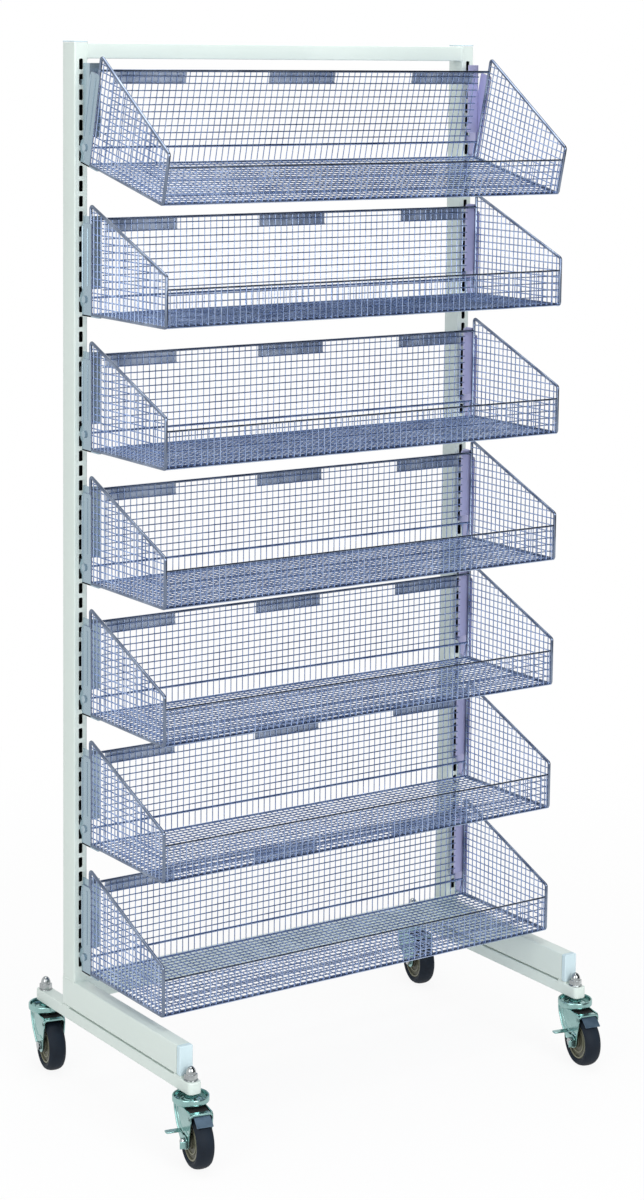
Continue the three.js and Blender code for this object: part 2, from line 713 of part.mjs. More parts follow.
// Pedal: a rocker on the axle's left end, with a long step behind and a short one in front.
function brakePedalSolid() {
  const inner = -CHEEK_OUTER - SEAT_GAP;
  const outer = inner - PEDAL_SHEET;
  const halfStep = PEDAL_STEP_DEPTH / 2;
  const disc = PEDAL_DISC / 2;
  const rocker = new THREE.Shape();
  rocker.absarc(0, 0, disc, 1.5 * Math.PI, 0.5 * Math.PI, true);
  rocker.lineTo(PEDAL_REACH, disc);
  rocker.lineTo(PEDAL_REACH, disc - halfStep);
  rocker.lineTo(disc, 0);
  const longStep = box(
    [inner - PEDAL_STEP, PEDAL_REACH - PEDAL_STEP_DEPTH, disc - PEDAL_SHEET],
    [inner, PEDAL_REACH, disc],
  );
  const shortStep = box(
    [inner - PEDAL_HEEL_STEP, -disc, -halfStep],
    [inner, -disc + PEDAL_SHEET, halfStep],
  );
  const hole = turnedOnAxle(
    rodProfile(AXLE_DIAMETER / 2 + TURN_GAP, outer - PEDAL_STEP, 0),
    PIN_FACETS,
  );
  return joinAll([crosswise(rocker, outer, inner), longStep, shortStep])
    .subtract(hole)
    .translate(0, -TRAIL, AXLE_Z);
}

const rack = new THREE.Group();

// Frame
const lowerBeamTop = LEG_TOP + LOWER_BEAM_RISE;
rack.add(
  named('top_beam', beamSolid(POST_TOP - TOP_BEAM_HEIGHT, POST_TOP), paint),
  named('lower_beam', beamSolid(lowerBeamTop - LOWER_BEAM_HEIGHT, lowerBeamTop), paint),
);
const sides = [
  { side: 'left', x: -POST_SPACING / 2, inward: 1 },
  { side: 'right', x: POST_SPACING / 2, inward: -1 },
];
for (const { side, x } of sides) {
  const sideFrame = new THREE.Group();
  sideFrame.position.x = x;
  sideFrame.add(
    named(`${side}_post`, postSolid(), paint),
    named(`${side}_post_cap`, postCapSolid(), capPlastic),
    named(`${side}_leg`, legSolid(), paint),
    named(`${side}_leg_cap`, legCapSolid(), capPlastic),
    named(`${side}_caster_rail`, railSolid(), paint),
  );
  rack.add(sideFrame);
}

// Baskets from the top down. The top one is tipped forward on its pivots.
const basket = basketSolid();
for (let i = 0; i < BASKET_COUNT; i += 1) {
  const extra = i === 0 ? 0 : TILT_EXTRA_SLOTS;
  const slot = FIRST_BASKET_SLOT + extra + i * BASKET_STEP_SLOTS;
  const floorHeight = TOP_SLOT - slot * SLOT_PITCH - FLOOR_DROP;
  for (const { side, x, inward } of sides) {
    const bracket = named(`${side}_bracket_${i + 1}`, bracketSolid(inward), platedSheet);
    bracket.position.set(x, 0, floorHeight);
    rack.add(bracket);
  }
  const pivot = new THREE.Group();
  pivot.position.set(0, PIVOT_Y, floorHeight + PIVOT_RISE);
  pivot.rotation.x = i === 0 ? radians(TILT_DEGREES) : 0;
  const hung = named(`basket_${i + 1}`, basket, brightWire);
  hung.position.set(0, -PIVOT_Y, -PIVOT_RISE);
  pivot.add(hung);
  rack.add(pivot);
}

// Casters at the four rail ends. The front pair has brakes.
for (const { side, x } of sides) {
  for (const { end, y, braked } of [
    { end: 'front', y: FRONT_STEM_Y, braked: true },
    { end: 'rear', y: REAR_STEM_Y, braked: false },
  ]) {
    const place = `${end}_${side}`;
    const station = new THREE.Group();
    station.position.set(x, y, 0);
    const nut = named(`${place}_acorn_nut`, acornNutSolid(), chromeSteel);
    nut.position.z = RAIL_TOP;
    station.add(nut, named(`${place}_swivel_head`, swivelHeadSolid(), zincPlate));
    const swivel = new THREE.Group();
    swivel.rotation.z = radians(CASTER_TURN_DEGREES);
    const hub = named(`${place}_hub`, hubSolid(), hubPlastic);
    const tyre = named(`${place}_tyre`, tyreSolid(), tyreRubber);
    const axle = named(`${place}_axle`, axleSolid(braked), chromeSteel);
    for (const piece of [hub, tyre, axle]) {
      piece.position.set(0, -TRAIL, AXLE_Z);
    }
    swivel.add(named(`${place}_fork`, forkSolid(braked), zincPlate), hub, tyre, axle);
    if (braked) {
      swivel.add(named(`${place}_brake_pedal`, brakePedalSolid(), zincPlate));
    }
    station.add(swivel);
    rack.add(station);
  }
}

// Centre the footprint on the origin, with the tyres on the floor.
const footprint = new THREE.Box3().setFromObject(rack, true);
const middle = footprint.getCenter(new THREE.Vector3());
rack.position.set(-middle.x, -middle.y, -footprint.min.z);
rack.updateMatrixWorld(true);

export default rack;
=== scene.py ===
# %% [markdown]
# # A bread rack for a bakery, dressed in Blender
# The rack is two slotted posts on caster legs, with seven wire baskets hung on the posts. The
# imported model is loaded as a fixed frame: its pieces already stand in the right places, so each
# finer piece below is made in the same frame and takes a body's name to ride on.

# %% Load the frame
import json
import math

import bpy
import numpy as np
from mathutils import Matrix, Vector


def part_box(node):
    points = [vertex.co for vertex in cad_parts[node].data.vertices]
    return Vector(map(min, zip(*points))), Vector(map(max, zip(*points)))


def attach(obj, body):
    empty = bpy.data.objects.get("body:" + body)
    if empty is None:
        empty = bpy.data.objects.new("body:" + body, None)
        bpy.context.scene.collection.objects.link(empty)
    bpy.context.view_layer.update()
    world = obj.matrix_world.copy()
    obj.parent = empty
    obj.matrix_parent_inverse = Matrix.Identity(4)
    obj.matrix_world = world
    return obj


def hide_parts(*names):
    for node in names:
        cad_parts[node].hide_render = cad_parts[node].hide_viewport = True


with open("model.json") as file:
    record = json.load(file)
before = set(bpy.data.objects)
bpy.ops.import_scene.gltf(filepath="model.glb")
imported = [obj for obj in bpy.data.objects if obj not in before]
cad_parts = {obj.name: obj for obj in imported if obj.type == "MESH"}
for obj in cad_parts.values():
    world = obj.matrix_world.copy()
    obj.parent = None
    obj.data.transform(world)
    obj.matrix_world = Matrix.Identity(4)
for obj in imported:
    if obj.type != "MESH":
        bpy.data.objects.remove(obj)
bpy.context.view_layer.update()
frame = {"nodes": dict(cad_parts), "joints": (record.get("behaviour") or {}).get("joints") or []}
joints = {joint["name"]: joint for joint in frame["joints"]}

# %% [markdown]
# ## Where things stand
# Shop fittings are dimensioned in millimetres, so the cells below use them too. What the frame
# already knows is read from it: the line midway between the posts, their front face, the heights
# of the tubes, and the turning points of the baskets and casters.

# %% Places read from the frame
MM = 0.001
TUBE_HALF, POST_DEPTH, PAD_HEIGHT = 12.5, 40.0, 3.0
left_post_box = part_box("left_post")
right_post_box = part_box("right_post")
MID_X = (left_post_box[0].x + right_post_box[1].x) / 2 / MM
FRONT_Y = left_post_box[0].y / MM
HALF_SPACING = (right_post_box[1].x - left_post_box[0].x) / 2 / MM - TUBE_HALF
SIDES = {"left": -HALF_SPACING, "right": HALF_SPACING}


def heights(node):
    low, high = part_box(node)
    return low.z / MM, high.z / MM


POST_FOOT, POST_TOP = heights("left_post")
LEG_LOW, LEG_HIGH = heights("left_leg")
RAIL_LOW, RAIL_HIGH = heights("left_caster_rail")[0], LEG_LOW - PAD_HEIGHT
AXLE_Z = joints["front_left_wheel_spin"]["pos_m"][2] / MM
print("posts stand", round(2 * HALF_SPACING, 2), "mm apart, front face at y", round(FRONT_Y, 2))

# %% [markdown]
# ## Mesh helpers
# A rack is made of a few simple processes: wire is drawn and bent, sheet and tube are extruded or
# folded, and round pieces are turned. One helper for each gives points and faces as plain lists,
# which is quicker and easier to measure than chains of editing operators.
#
# A wire could be a curve with a round bevel. Here it is a row of rings along its path, so that
# hundreds of wires can go into one mesh. Each ring is turned as little as possible from the one
# before it, which keeps the wire from twisting at its bends.

# %% A bent wire
ASKEW = (0.31, 0.17, 0.93)  # a direction that no wire of the rack follows


def bent_wire(path, diameter, sides=8, closed=False):
    points = np.asarray(path, float)
    ahead = np.roll(points, -1, 0) - points
    behind = points - np.roll(points, 1, 0)
    if not closed:
        ahead[-1] = behind[-1]
        behind[0] = ahead[0]
    along = ahead / np.linalg.norm(ahead, axis=1)[:, None]
    along = along + behind / np.linalg.norm(behind, axis=1)[:, None]
    along /= np.linalg.norm(along, axis=1)[:, None]
    side = np.cross(along[0], ASKEW)
    turns = np.arange(sides) * 2 * math.pi / sides
    rings = []
    for point, direction in zip(points, along):
        side = side - direction * (side @ direction)
        side /= np.linalg.norm(side)
        other = np.cross(direction, side)
        ring = np.outer(np.cos(turns), side) + np.outer(np.sin(turns), other)
        rings.append(point + ring * diameter / 2)
    count = len(points)
    faces = []
    for i in range(count if closed else count - 1):
        a, b = i * sides, (i + 1) % count * sides
        faces += [(a + k, a + (k + 1) % sides, b + (k + 1) % sides, b + k) for k in range(sides)]
    if not closed:
        faces.append(tuple(range(sides))[::-1])
        faces.append(tuple(range((count - 1) * sides, count * sides)))
    return np.concatenate(rings), faces


print("a straight wire has", len(bent_wire([(0, 0, 0), (0, 0, 10)], 2)[1]), "faces")

# %% [markdown]
# Tube, bar and sheet all have one outline along their length, so they are extruded. Round pieces
# are a profile of radius and height, turned about an axis. Blender's Screw modifier would turn a
# profile too, but plain points let several turned and extruded parts share one mesh.


# %% Extruded outlines and turned profiles
def extruded(outline, start, end, axis="z"):
    flat = np.asarray(outline, float)
    count = len(flat)
    low = np.column_stack([flat, np.full(count, start)])
    high = np.column_stack([flat, np.full(count, end)])
    points = np.concatenate([low, high])
    order = {"z": [0, 1, 2], "x": [2, 0, 1], "y": [0, 2, 1]}[axis]
    faces = [tuple(range(count))[::-1], tuple(range(count, 2 * count))]
    faces += [(i, (i + 1) % count, count + (i + 1) % count, count + i) for i in range(count)]
    return points[:, order], faces


def turned(profile, steps=40, axis="z"):
    angles = np.arange(steps) * 2 * math.pi / steps
    rings = [np.column_stack([r * np.cos(angles), r * np.sin(angles), np.full(steps, h)])
             for r, h in profile]
    faces = []
    for i in range(len(profile) - 1):
        a, b = i * steps, (i + 1) * steps
        faces += [(a + k, a + (k + 1) % steps, b + (k + 1) % steps, b + k) for k in range(steps)]
    points = np.concatenate(rings)
    return (points if axis == "z" else points[:, [2, 0, 1]]), faces


def rounded_box(x0, x1, y0, y1, radius, steps=5):
    corners = [(x1 - radius, y1 - radius, 0), (x0 + radius, y1 - radius, 1),
               (x0 + radius, y0 + radius, 2), (x1 - radius, y0 + radius, 3)]
    outline = []
    for x, y, quarter in corners:
        for i in range(steps + 1):
            angle = (quarter + i / steps) * math.pi / 2
            outline.append((x + radius * math.cos(angle), y + radius * math.sin(angle)))
    return outline


def moved(part, x=0.0, y=0.0, z=0.0):
    return part[0] + np.array([x, y, z]), part[1]


print("a rounded box outline has", len(rounded_box(0, 1, 0, 1, 0.1)), "points")

# %% [markdown]
# A finished piece is one mesh with one or more finishes. Its parts come as one list, or as a list
# for each finish. The mesh is shaded smooth up to an angle, so that a bend looks round and a cut
# edge stays crisp, and a small bevel softens the edges of what was moulded or pressed.


# %% Putting parts together as one piece
def make_piece(name, parts, finishes, body, place=None, bevel=0.0, smooth=35):
    points, faces, finish_of = [], [], []
    start = 0
    for index, group in enumerate(parts if isinstance(parts[0], list) else [parts]):
        for part_points, part_faces in group:
            points.append(part_points)
            faces += [tuple(start + v for v in face) for face in part_faces]
            finish_of += [index] * len(part_faces)
            start += len(part_points)
    mesh = bpy.data.meshes.new(name)
    mesh.from_pydata(np.concatenate(points) * MM, [], faces)
    mesh.polygons.foreach_set("material_index", finish_of)
    for finish in finishes if isinstance(finishes, list) else [finishes]:
        mesh.materials.append(finish)
    mesh.validate()
    mesh.shade_smooth()
    mesh.set_sharp_from_angle(angle=math.radians(smooth))
    piece = bpy.data.objects.new(name, mesh)
    bpy.context.scene.collection.objects.link(piece)
    piece.matrix_world = place or Matrix.Translation((MID_X * MM, FRONT_Y * MM, 0))
    if bevel:
        softened = piece.modifiers.new("softened_edges", "BEVEL")
        softened.width = bevel * MM
        softened.segments = 2
        softened.limit_method = "ANGLE"
    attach(piece, body)
    return piece


print("pieces are placed from the middle of the posts' front face, on the floor")

# %% [markdown]
# ## Finishes
# Every finish is made from nodes. A slow noise varies the colour and the roughness together, and a
# fine one gives the bump, each at the size it has on the real thing. One helper lays out this
# chain, and another lays worn or dusty marks over a finish that has them.

# %% The chain that all finishes share
NOISE_LOW, NOISE_HIGH = 0.3, 0.7
PATCH_DETAIL, GRAIN_DETAIL, GRAIN_DEPTH = 4, 3, 0.0004


def new_finish(name, pale, deep, rough, patch, grain, bump, metallic=0.0, stretch=(1, 1, 1)):
    finish = bpy.data.materials.new(name)
    finish.use_nodes = True
    nodes, links = finish.node_tree.nodes, finish.node_tree.links
    shader = nodes["Principled BSDF"]
    shader.inputs["Metallic"].default_value = metallic
    where = nodes.new("ShaderNodeTexCoord")
    drawn_out = nodes.new("ShaderNodeMapping")
    drawn_out.inputs["Scale"].default_value = stretch
    links.new(where.outputs["Object"], drawn_out.inputs["Vector"])
    patches = nodes.new("ShaderNodeTexNoise")
    patches.inputs["Scale"].default_value = patch
    patches.inputs["Detail"].default_value = PATCH_DETAIL
    links.new(drawn_out.outputs["Vector"], patches.inputs["Vector"])
    colours = nodes.new("ShaderNodeValToRGB")
    colours.name = "colours"
    for stop, position, colour in zip(colours.color_ramp.elements, (NOISE_LOW, NOISE_HIGH), (deep, pale)):
        stop.position = position
        stop.color = (*colour, 1)
    links.new(patches.outputs["Fac"], colours.inputs["Fac"])
    links.new(colours.outputs["Color"], shader.inputs["Base Color"])
    grains = nodes.new("ShaderNodeTexNoise")
    grains.inputs["Scale"].default_value = grain
    grains.inputs["Detail"].default_value = GRAIN_DETAIL
    links.new(drawn_out.outputs["Vector"], grains.inputs["Vector"])
    roughness = nodes.new("ShaderNodeMapRange")
    roughness.inputs["From Min"].default_value = NOISE_LOW
    roughness.inputs["From Max"].default_value = NOISE_HIGH
    roughness.inputs["To Min"].default_value = rough[0]
    roughness.inputs["To Max"].default_value = rough[1]
    links.new(patches.outputs["Fac"], roughness.inputs["Value"])
    links.new(roughness.outputs["Result"], shader.inputs["Roughness"])
    relief = nodes.new("ShaderNodeBump")
    relief.inputs["Strength"].default_value = bump
    relief.inputs["Distance"].default_value = GRAIN_DEPTH
    links.new(grains.outputs["Fac"], relief.inputs["Height"])
    links.new(relief.outputs["Normal"], shader.inputs["Normal"])
    return finish


print("finishes use object coordinates, so a pattern keeps its size on every piece")

# %% [markdown]
# Scuffs and dust lie only here and there. A rougher noise is cut off high, so that only its peaks
# are left, and those peaks mix another colour over the finish.

# %% Marks over a finish
MARK_DETAIL, MARK_ROUGHNESS, MARK_EDGE = 8, 0.7, 0.08


def add_marks(finish, colour, scale, cut, amount):
    nodes, links = finish.node_tree.nodes, finish.node_tree.links
    shader = nodes["Principled BSDF"]
    marks = nodes.new("ShaderNodeTexNoise")
    marks.inputs["Scale"].default_value = scale
    marks.inputs["Detail"].default_value = MARK_DETAIL
    marks.inputs["Roughness"].default_value = MARK_ROUGHNESS
    links.new(nodes["Mapping"].outputs["Vector"], marks.inputs["Vector"])
    strength = nodes.new("ShaderNodeMapRange")
    strength.inputs["From Min"].default_value = cut
    strength.inputs["From Max"].default_value = cut + MARK_EDGE
    strength.inputs["To Max"].default_value = amount
    links.new(marks.outputs["Fac"], strength.inputs["Value"])
    over = nodes.new("ShaderNodeMix")
    over.data_type = "RGBA"
    over.inputs["B"].default_value = (*colour, 1)
    links.new(strength.outputs["Result"], over.inputs["Factor"])
    links.new(nodes["colours"].outputs["Color"], over.inputs["A"])
    links.new(over.outputs["Result"], shader.inputs["Base Color"])


print("marks are soft over", MARK_EDGE, "of the noise")

# %% [markdown]
# The frame is off-white baked enamel with a little green in it. Powder and enamel dry with a faint
# orange-peel surface, so the grain is two to three millimetres across and very shallow, and a few
# small scuffs show the metal primer. The caps are moulded plastic, a little bluer and duller. The
# inside of a tube is near black, which is painted shade for the dark in the hollow.

# %% Frame finishes
enamel = new_finish("off_white_enamel", pale=(0.70, 0.785, 0.745), deep=(0.66, 0.75, 0.71),
                    rough=(0.32, 0.46), patch=5, grain=420, bump=0.06)
add_marks(enamel, colour=(0.42, 0.45, 0.42), scale=95, cut=0.70, amount=0.35)
cap_plastic = new_finish("pale_cap_plastic", pale=(0.60, 0.74, 0.79), deep=(0.55, 0.70, 0.75),
                         rough=(0.42, 0.55), patch=12, grain=900, bump=0.08)
# near-black colour: painted shade for the dark inside a hollow tube and in a fork's bowl
painted_shade_inside = new_finish("painted_shade_tube_inside", pale=(0.03, 0.03, 0.03), deep=(0.012, 0.012, 0.014),
                         rough=(0.6, 0.8), patch=20, grain=300, bump=0.2, metallic=0.3)
print("frame finishes:", enamel.name, cap_plastic.name, painted_shade_inside.name)

# %% [markdown]
# The baskets are bright plated wire and the hangers are plated sheet with a blue passivation that
# turns lavender in places. Plating is a metal, so it takes its look from what it reflects: its own
# colour is kept a little blue, and its roughness changes along each wire. The thick edge wires are the
# same plating made darker, which is painted dark reflection. Rolled sheet has its patches drawn out
# along its length, which the stretch gives.

# %% Plated wire and sheet
ROLLED = (1, 1, 0.12)
bright_wire = new_finish("bright_plated_wire", pale=(0.47, 0.57, 0.77), deep=(0.22, 0.30, 0.49),
                         rough=(0.06, 0.16), patch=28, grain=1500, bump=0.12, metallic=1.0)
# darker than the mat wire of the same plating: painted dark reflection
reflection_darkened_wire = new_finish("edge_wire_with_painted_dark_reflection", pale=(0.26, 0.31, 0.40), deep=(0.10, 0.13, 0.20),
                       rough=(0.05, 0.12), patch=28, grain=1500, bump=0.08, metallic=1.0)
lavender_plate = new_finish("lavender_plated_sheet", pale=(0.52, 0.52, 0.76), deep=(0.42, 0.43, 0.66),
                            rough=(0.34, 0.5), patch=14, grain=700, bump=0.1, metallic=0.5, stretch=ROLLED)
pale_plate = new_finish("pale_plated_sheet", pale=(0.50, 0.60, 0.65), deep=(0.26, 0.36, 0.44),
                        rough=(0.16, 0.3), patch=14, grain=700, bump=0.1, metallic=0.75, stretch=ROLLED)
back_plate = new_finish("grey_back_plate", pale=(0.46, 0.52, 0.62), deep=(0.24, 0.30, 0.42),
                        rough=(0.3, 0.5), patch=30, grain=700, bump=0.1, metallic=0.8)
print("basket finishes:", bright_wire.name, reflection_darkened_wire.name, lavender_plate.name, pale_plate.name,
      back_plate.name)

# %% [markdown]
# The casters are zinc plated with a blue-green passivation, a thin clear film that tints whatever
# the metal reflects. Their brake plates are darker steel, and the nuts and axle bolts are chrome.

# %% Caster metals
zinc_plate = new_finish("zinc_plated_steel", pale=(0.33, 0.51, 0.49), deep=(0.20, 0.36, 0.35),
                        rough=(0.16, 0.24), patch=30, grain=900, bump=0.02, metallic=0.97)
brake_steel = new_finish("dark_brake_steel", pale=(0.10, 0.16, 0.22), deep=(0.06, 0.10, 0.15),
                         rough=(0.3, 0.5), patch=40, grain=900, bump=0.1, metallic=0.6)
chrome = new_finish("polished_chrome", pale=(0.50, 0.53, 0.53), deep=(0.28, 0.30, 0.31),
                    rough=(0.08, 0.18), patch=60, grain=900, bump=0.03, metallic=1.0)
print("caster metals:", zinc_plate.name, brake_steel.name, chrome.name)

# %% [markdown]
# Wheels: a blue-black rubber tyre on a dark olive moulding. Rubber is dull and never quite black,
# and its tread picks up pale dust, which the marks give. Its gloss is turned down on the shader,
# since the default suits polished plastic.

# %% Wheel finishes
RUBBER_GLOSS = 0.2
tyre_rubber = new_finish("blue_black_rubber", pale=(0.010, 0.018, 0.030), deep=(0.005, 0.009, 0.016),
                         rough=(0.55, 0.75), patch=30, grain=1200, bump=0.25)
add_marks(tyre_rubber, colour=(0.08, 0.10, 0.12), scale=160, cut=0.68, amount=0.25)
rubber_shader = tyre_rubber.node_tree.nodes["Principled BSDF"]
rubber_shader.inputs["Specular IOR Level"].default_value = RUBBER_GLOSS
hub_plastic = new_finish("olive_hub_moulding", pale=(0.085, 0.085, 0.055), deep=(0.055, 0.055, 0.038),
                         rough=(0.42, 0.6), patch=40, grain=1000, bump=0.15)
ring_plastic = new_finish("pale_hub_ring", pale=(0.20, 0.20, 0.13), deep=(0.15, 0.15, 0.10),
                          rough=(0.35, 0.5), patch=40, grain=1000, bump=0.1)
print("wheel finishes:", tyre_rubber.name, hub_plastic.name, ring_plastic.name)

# %% [markdown]
# ## Slotted posts
# Each post is a box tube with rounded corners and one row of punched slots, every 25 mm. The slots
# could be cut with booleans, but a punched wall is more easily laid out as it repeats: each slot has
# two halves of wall round it, and a short sleeve for the thickness of the sheet.

# %% The punched front wall of a post
SLOT_DROP = 35
TOP_SLOT = POST_TOP - SLOT_DROP
SLOT_PITCH, SLOT_COUNT = 25.0, 62
SLOT_HALF_WIDTH, SLOT_HALF_HEIGHT, SLOT_CORNER = 3.9, 9.0, 2.2
CORNER, WALL = 2.2, 1.6
FACE = TUBE_HALF - CORNER


def slot_rim(side):
    rim = rounded_box(-SLOT_HALF_WIDTH, SLOT_HALF_WIDTH, -SLOT_HALF_HEIGHT, SLOT_HALF_HEIGHT, SLOT_CORNER, 3)
    return sorted((point for point in rim if point[0] * side > 0), key=lambda point: point[1])


def front_wall():
    wall, sleeves = [], []
    low_end, high_end = (0, -SLOT_HALF_HEIGHT), (0, SLOT_HALF_HEIGHT)
    loop = [low_end, *slot_rim(1), high_end, *slot_rim(-1)[::-1]]
    count = len(loop)
    half = SLOT_PITCH / 2
    for i in range(SLOT_COUNT):
        z = TOP_SLOT - i * SLOT_PITCH
        for side in (1, -1):
            flat = [(0, -half), (side * FACE, -half), (side * FACE, half), (0, half)]
            flat += [high_end, *slot_rim(side)[::-1], low_end]
            order = tuple(range(len(flat)))
            wall.append((np.array([(x, 0, z + h) for x, h in flat]), [order if side > 0 else order[::-1]]))
        ring = [(x, y, z + h) for y in (0, WALL) for x, h in loop]
        sleeves.append((np.array(ring), [(k, (k + 1) % count, count + (k + 1) % count, count + k)
                                         for k in range(count)]))
    low, high = TOP_SLOT - (SLOT_COUNT - 0.5) * SLOT_PITCH, TOP_SLOT + half
    for z0, z1 in ((POST_FOOT, low), (high, POST_TOP)):
        corners = [(-FACE, 0, z0), (FACE, 0, z0), (FACE, 0, z1), (-FACE, 0, z1)]
        wall.append((np.array(corners), [(0, 1, 2, 3)]))
    return wall, sleeves


wall, sleeves = front_wall()
print(len(wall), "pieces of wall and", len(sleeves), "slot sleeves in a post")

# %% [markdown]
# The other three walls and the corners are one skin outside and one inside, open at the front where
# the punched wall closes them. The inner skin faces inward and is near black with painted shade, so
# that a slot looks into a dark hollow tube and not at a painted block.

# %% Two posts
TOUCH = 1e-3


def tube_skin(inset):
    outline = rounded_box(inset - TUBE_HALF, TUBE_HALF - inset, inset, POST_DEPTH - inset, CORNER, 4)
    points, faces = extruded(outline, POST_FOOT, POST_TOP)
    skin = []
    for face in faces[2:]:
        if points[list(face)].mean(0)[1] > inset + TOUCH:
            skin.append(face if inset == 0 else face[::-1])
    return points, skin


for side, x in SIDES.items():
    outside = [moved(part, x) for part in [*wall, *sleeves, tube_skin(0)]]
    # the inner skin takes the near-black painted shade
    inside = [moved(tube_skin(WALL), x)]
    post = make_piece(f"{side}_slotted_post", [outside, inside], [enamel, painted_shade_inside], "frame")
    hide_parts(f"{side}_post")
    print(post.name, "has", len(post.data.polygons), "faces and", SLOT_COUNT, "slots")

# %% [markdown]
# ## Beams, legs and rails
# These are plain box tubes and bars. What makes them read as metal is the rounded corner of the
# tube and a small weld bead where one meets another, so both are modelled. The bead is a short wire
# half sunk in the corner, which is close to what a welding torch leaves.

# %% Beams between the posts
END = HALF_SPACING - TUBE_HALF
BEAM_DEPTH, BEAD, BEAD_INSET, BEAD_PROUD = 25.0, 3.2, 1.5, 0.2
for name in ("top_beam", "lower_beam"):
    z0, z1 = heights(name)
    tube = extruded(rounded_box(0, BEAM_DEPTH, z0, z1, CORNER), -END, END, "x")
    beads = []
    for x in (-END, END):
        under = [(x, BEAD_INSET, z0), (x, BEAM_DEPTH - BEAD_INSET, z0)]
        upright = [(x, BEAD_PROUD, z0 + BEAD_INSET), (x, BEAD_PROUD, z1 - BEAD_INSET)]
        beads += [bent_wire(bead, BEAD, 6) for bead in (under, upright)]
    beam = make_piece(f"{name}_tube", [tube, *beads], enamel, "frame")
    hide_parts(name)
    print(beam.name, "spans", round(2 * END, 1), "mm")

# %% [markdown]
# A leg is a flat box tube on edge, welded under the post and running forward. Its front end takes a
# plastic plug, and so does the top of the post. They could be part of the tubes, but as pieces of
# their own they leave the thin dark line that shows where a plug sits on a cut end. The lid on the
# post is a little wider than its tube.

# %% Legs and their caps
LEG_MOUTH, LEG_NOSE, LEG_CORNER = -335.0, -345.0, 2.4
LEG_BEAD, BEAD_REAR = 3.0, 38.0
PLUG_GAP, LID_GAP, LID_RISE, LID_PROUD, LID_CORNER = 0.4, 0.8, 3.0, 0.6, 2.6
edge = TUBE_HALF - BEAD_PROUD
leg_outline = rounded_box(-TUBE_HALF, TUBE_HALF, LEG_LOW, LEG_HIGH, LEG_CORNER)
lid_outline = rounded_box(-TUBE_HALF - LID_PROUD, TUBE_HALF + LID_PROUD, -LID_PROUD,
                          POST_DEPTH + LID_PROUD, LID_CORNER)
bead_line = [(-edge, BEAD_REAR), (-edge, BEAD_PROUD), (edge, BEAD_PROUD), (edge, BEAD_REAR)]
for side, x in SIDES.items():
    tube = extruded(leg_outline, LEG_MOUTH, POST_DEPTH, "y")
    bead = bent_wire([(across, y, LEG_HIGH) for across, y in bead_line], LEG_BEAD, 6)
    leg = make_piece(f"{side}_leg_tube", [moved(tube, x), moved(bead, x)], enamel, "frame")
    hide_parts(f"{side}_leg")
    cover = extruded(leg_outline, LEG_NOSE, LEG_MOUTH - PLUG_GAP, "y")
    cap = make_piece(f"{side}_leg_end_cap", [moved(cover, x)], cap_plastic, "frame", bevel=1.2)
    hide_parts(f"{side}_leg_cap")
    lid = extruded(lid_outline, POST_TOP + LID_GAP, POST_TOP + LID_RISE)
    top = make_piece(f"{side}_post_top_cap", [moved(lid, x)], cap_plastic, "frame", bevel=0.9)
    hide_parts(f"{side}_post_cap")
    print(leg.name, "is", round(POST_DEPTH - LEG_MOUTH), "mm long")

# %% [markdown]
# Under each leg lies a solid bar with rounded ends, which carries the two casters. Two thin pads
# hold it off the leg, so a dark gap runs between them, as on the real rack.

# %% Rails under the legs
RAIL_FRONT, RAIL_BACK, RAIL_END = -375.0, 140.0, 8.0
PAD_LENGTH, PAD_CORNER, PAD_STARTS = 20.0, 1.5, (LEG_NOSE, 20.0)
PAD_SUNK, PAD_OVER = 0.5, 0.2
for side, x in SIDES.items():
    bar_outline = rounded_box(-TUBE_HALF, TUBE_HALF, RAIL_FRONT, RAIL_BACK, RAIL_END, 6)
    bar = extruded(bar_outline, RAIL_LOW, RAIL_HIGH)
    rail = make_piece(f"{side}_rail_bar", [moved(bar, x)], enamel, "frame", bevel=1.4)
    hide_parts(f"{side}_caster_rail")
    pads = []
    for y in PAD_STARTS:
        pad = rounded_box(-edge, edge, y, y + PAD_LENGTH, PAD_CORNER)
        pads.append(moved(extruded(pad, RAIL_HIGH - PAD_SUNK, LEG_LOW + PAD_OVER), x))
    make_piece(f"{side}_rail_pads", pads, enamel, "frame")
    print(rail.name, "is", round(RAIL_BACK - RAIL_FRONT), "mm long")

# %% [markdown]
# ## Wire baskets
# A basket is one welded mat of thin wire, bent up at the front and the back, with two side panels
# and thicker wires round the edges. The wires are swept one by one: a wireframe modifier would be
# quicker, but it can't put one layer of wires on top of the other as welding does.

# %% Sizes of a basket
BASKET_HALF, REAR, FRONT = 400.0, -33.0, -273.0
SIDE_REAR, SIDE_FRONT, BACK_TOP, BACK_LOW, FRONT_TOP = 180.0, 83.0, 157.0, 28.0, 60.0
PITCH, THIN, UPRIGHT = 12.0, 2.2, 1.9
FRONT_BEND, REAR_BEND = 5.0, 4.0
PIVOT = np.array([0.0, -18.0, 24.0])
FALL = (SIDE_REAR - SIDE_FRONT) / (REAR - FRONT)


def arc(y, z, radius, start, end, steps=4):
    turns = np.radians(np.linspace(start, end, steps + 1))
    return [(y + radius * math.cos(t), z + radius * math.sin(t)) for t in turns]


def mat_line(offset):
    rear, front, floor = REAR + offset, FRONT - offset, -offset
    line = [(rear, BACK_TOP), *arc(rear - REAR_BEND, floor + REAR_BEND, REAR_BEND, 0, -90, 3)]
    line += arc(front + FRONT_BEND, floor + FRONT_BEND, FRONT_BEND, -90, -180)
    return [*line, (front, FRONT_TOP)]


def from_pivot(parts):
    return [(points - PIVOT, faces) for points, faces in parts]


print("the bent mat line has", len(mat_line(0)), "points")

# %% [markdown]
# The mat has bent wires on the outside, one about every 12 mm, and long straight wires welded on the
# inside of them. The back of the mat stops short of the brackets, so that their flanges show. Three
# heavier wires stiffen the bends and the foot of the back.

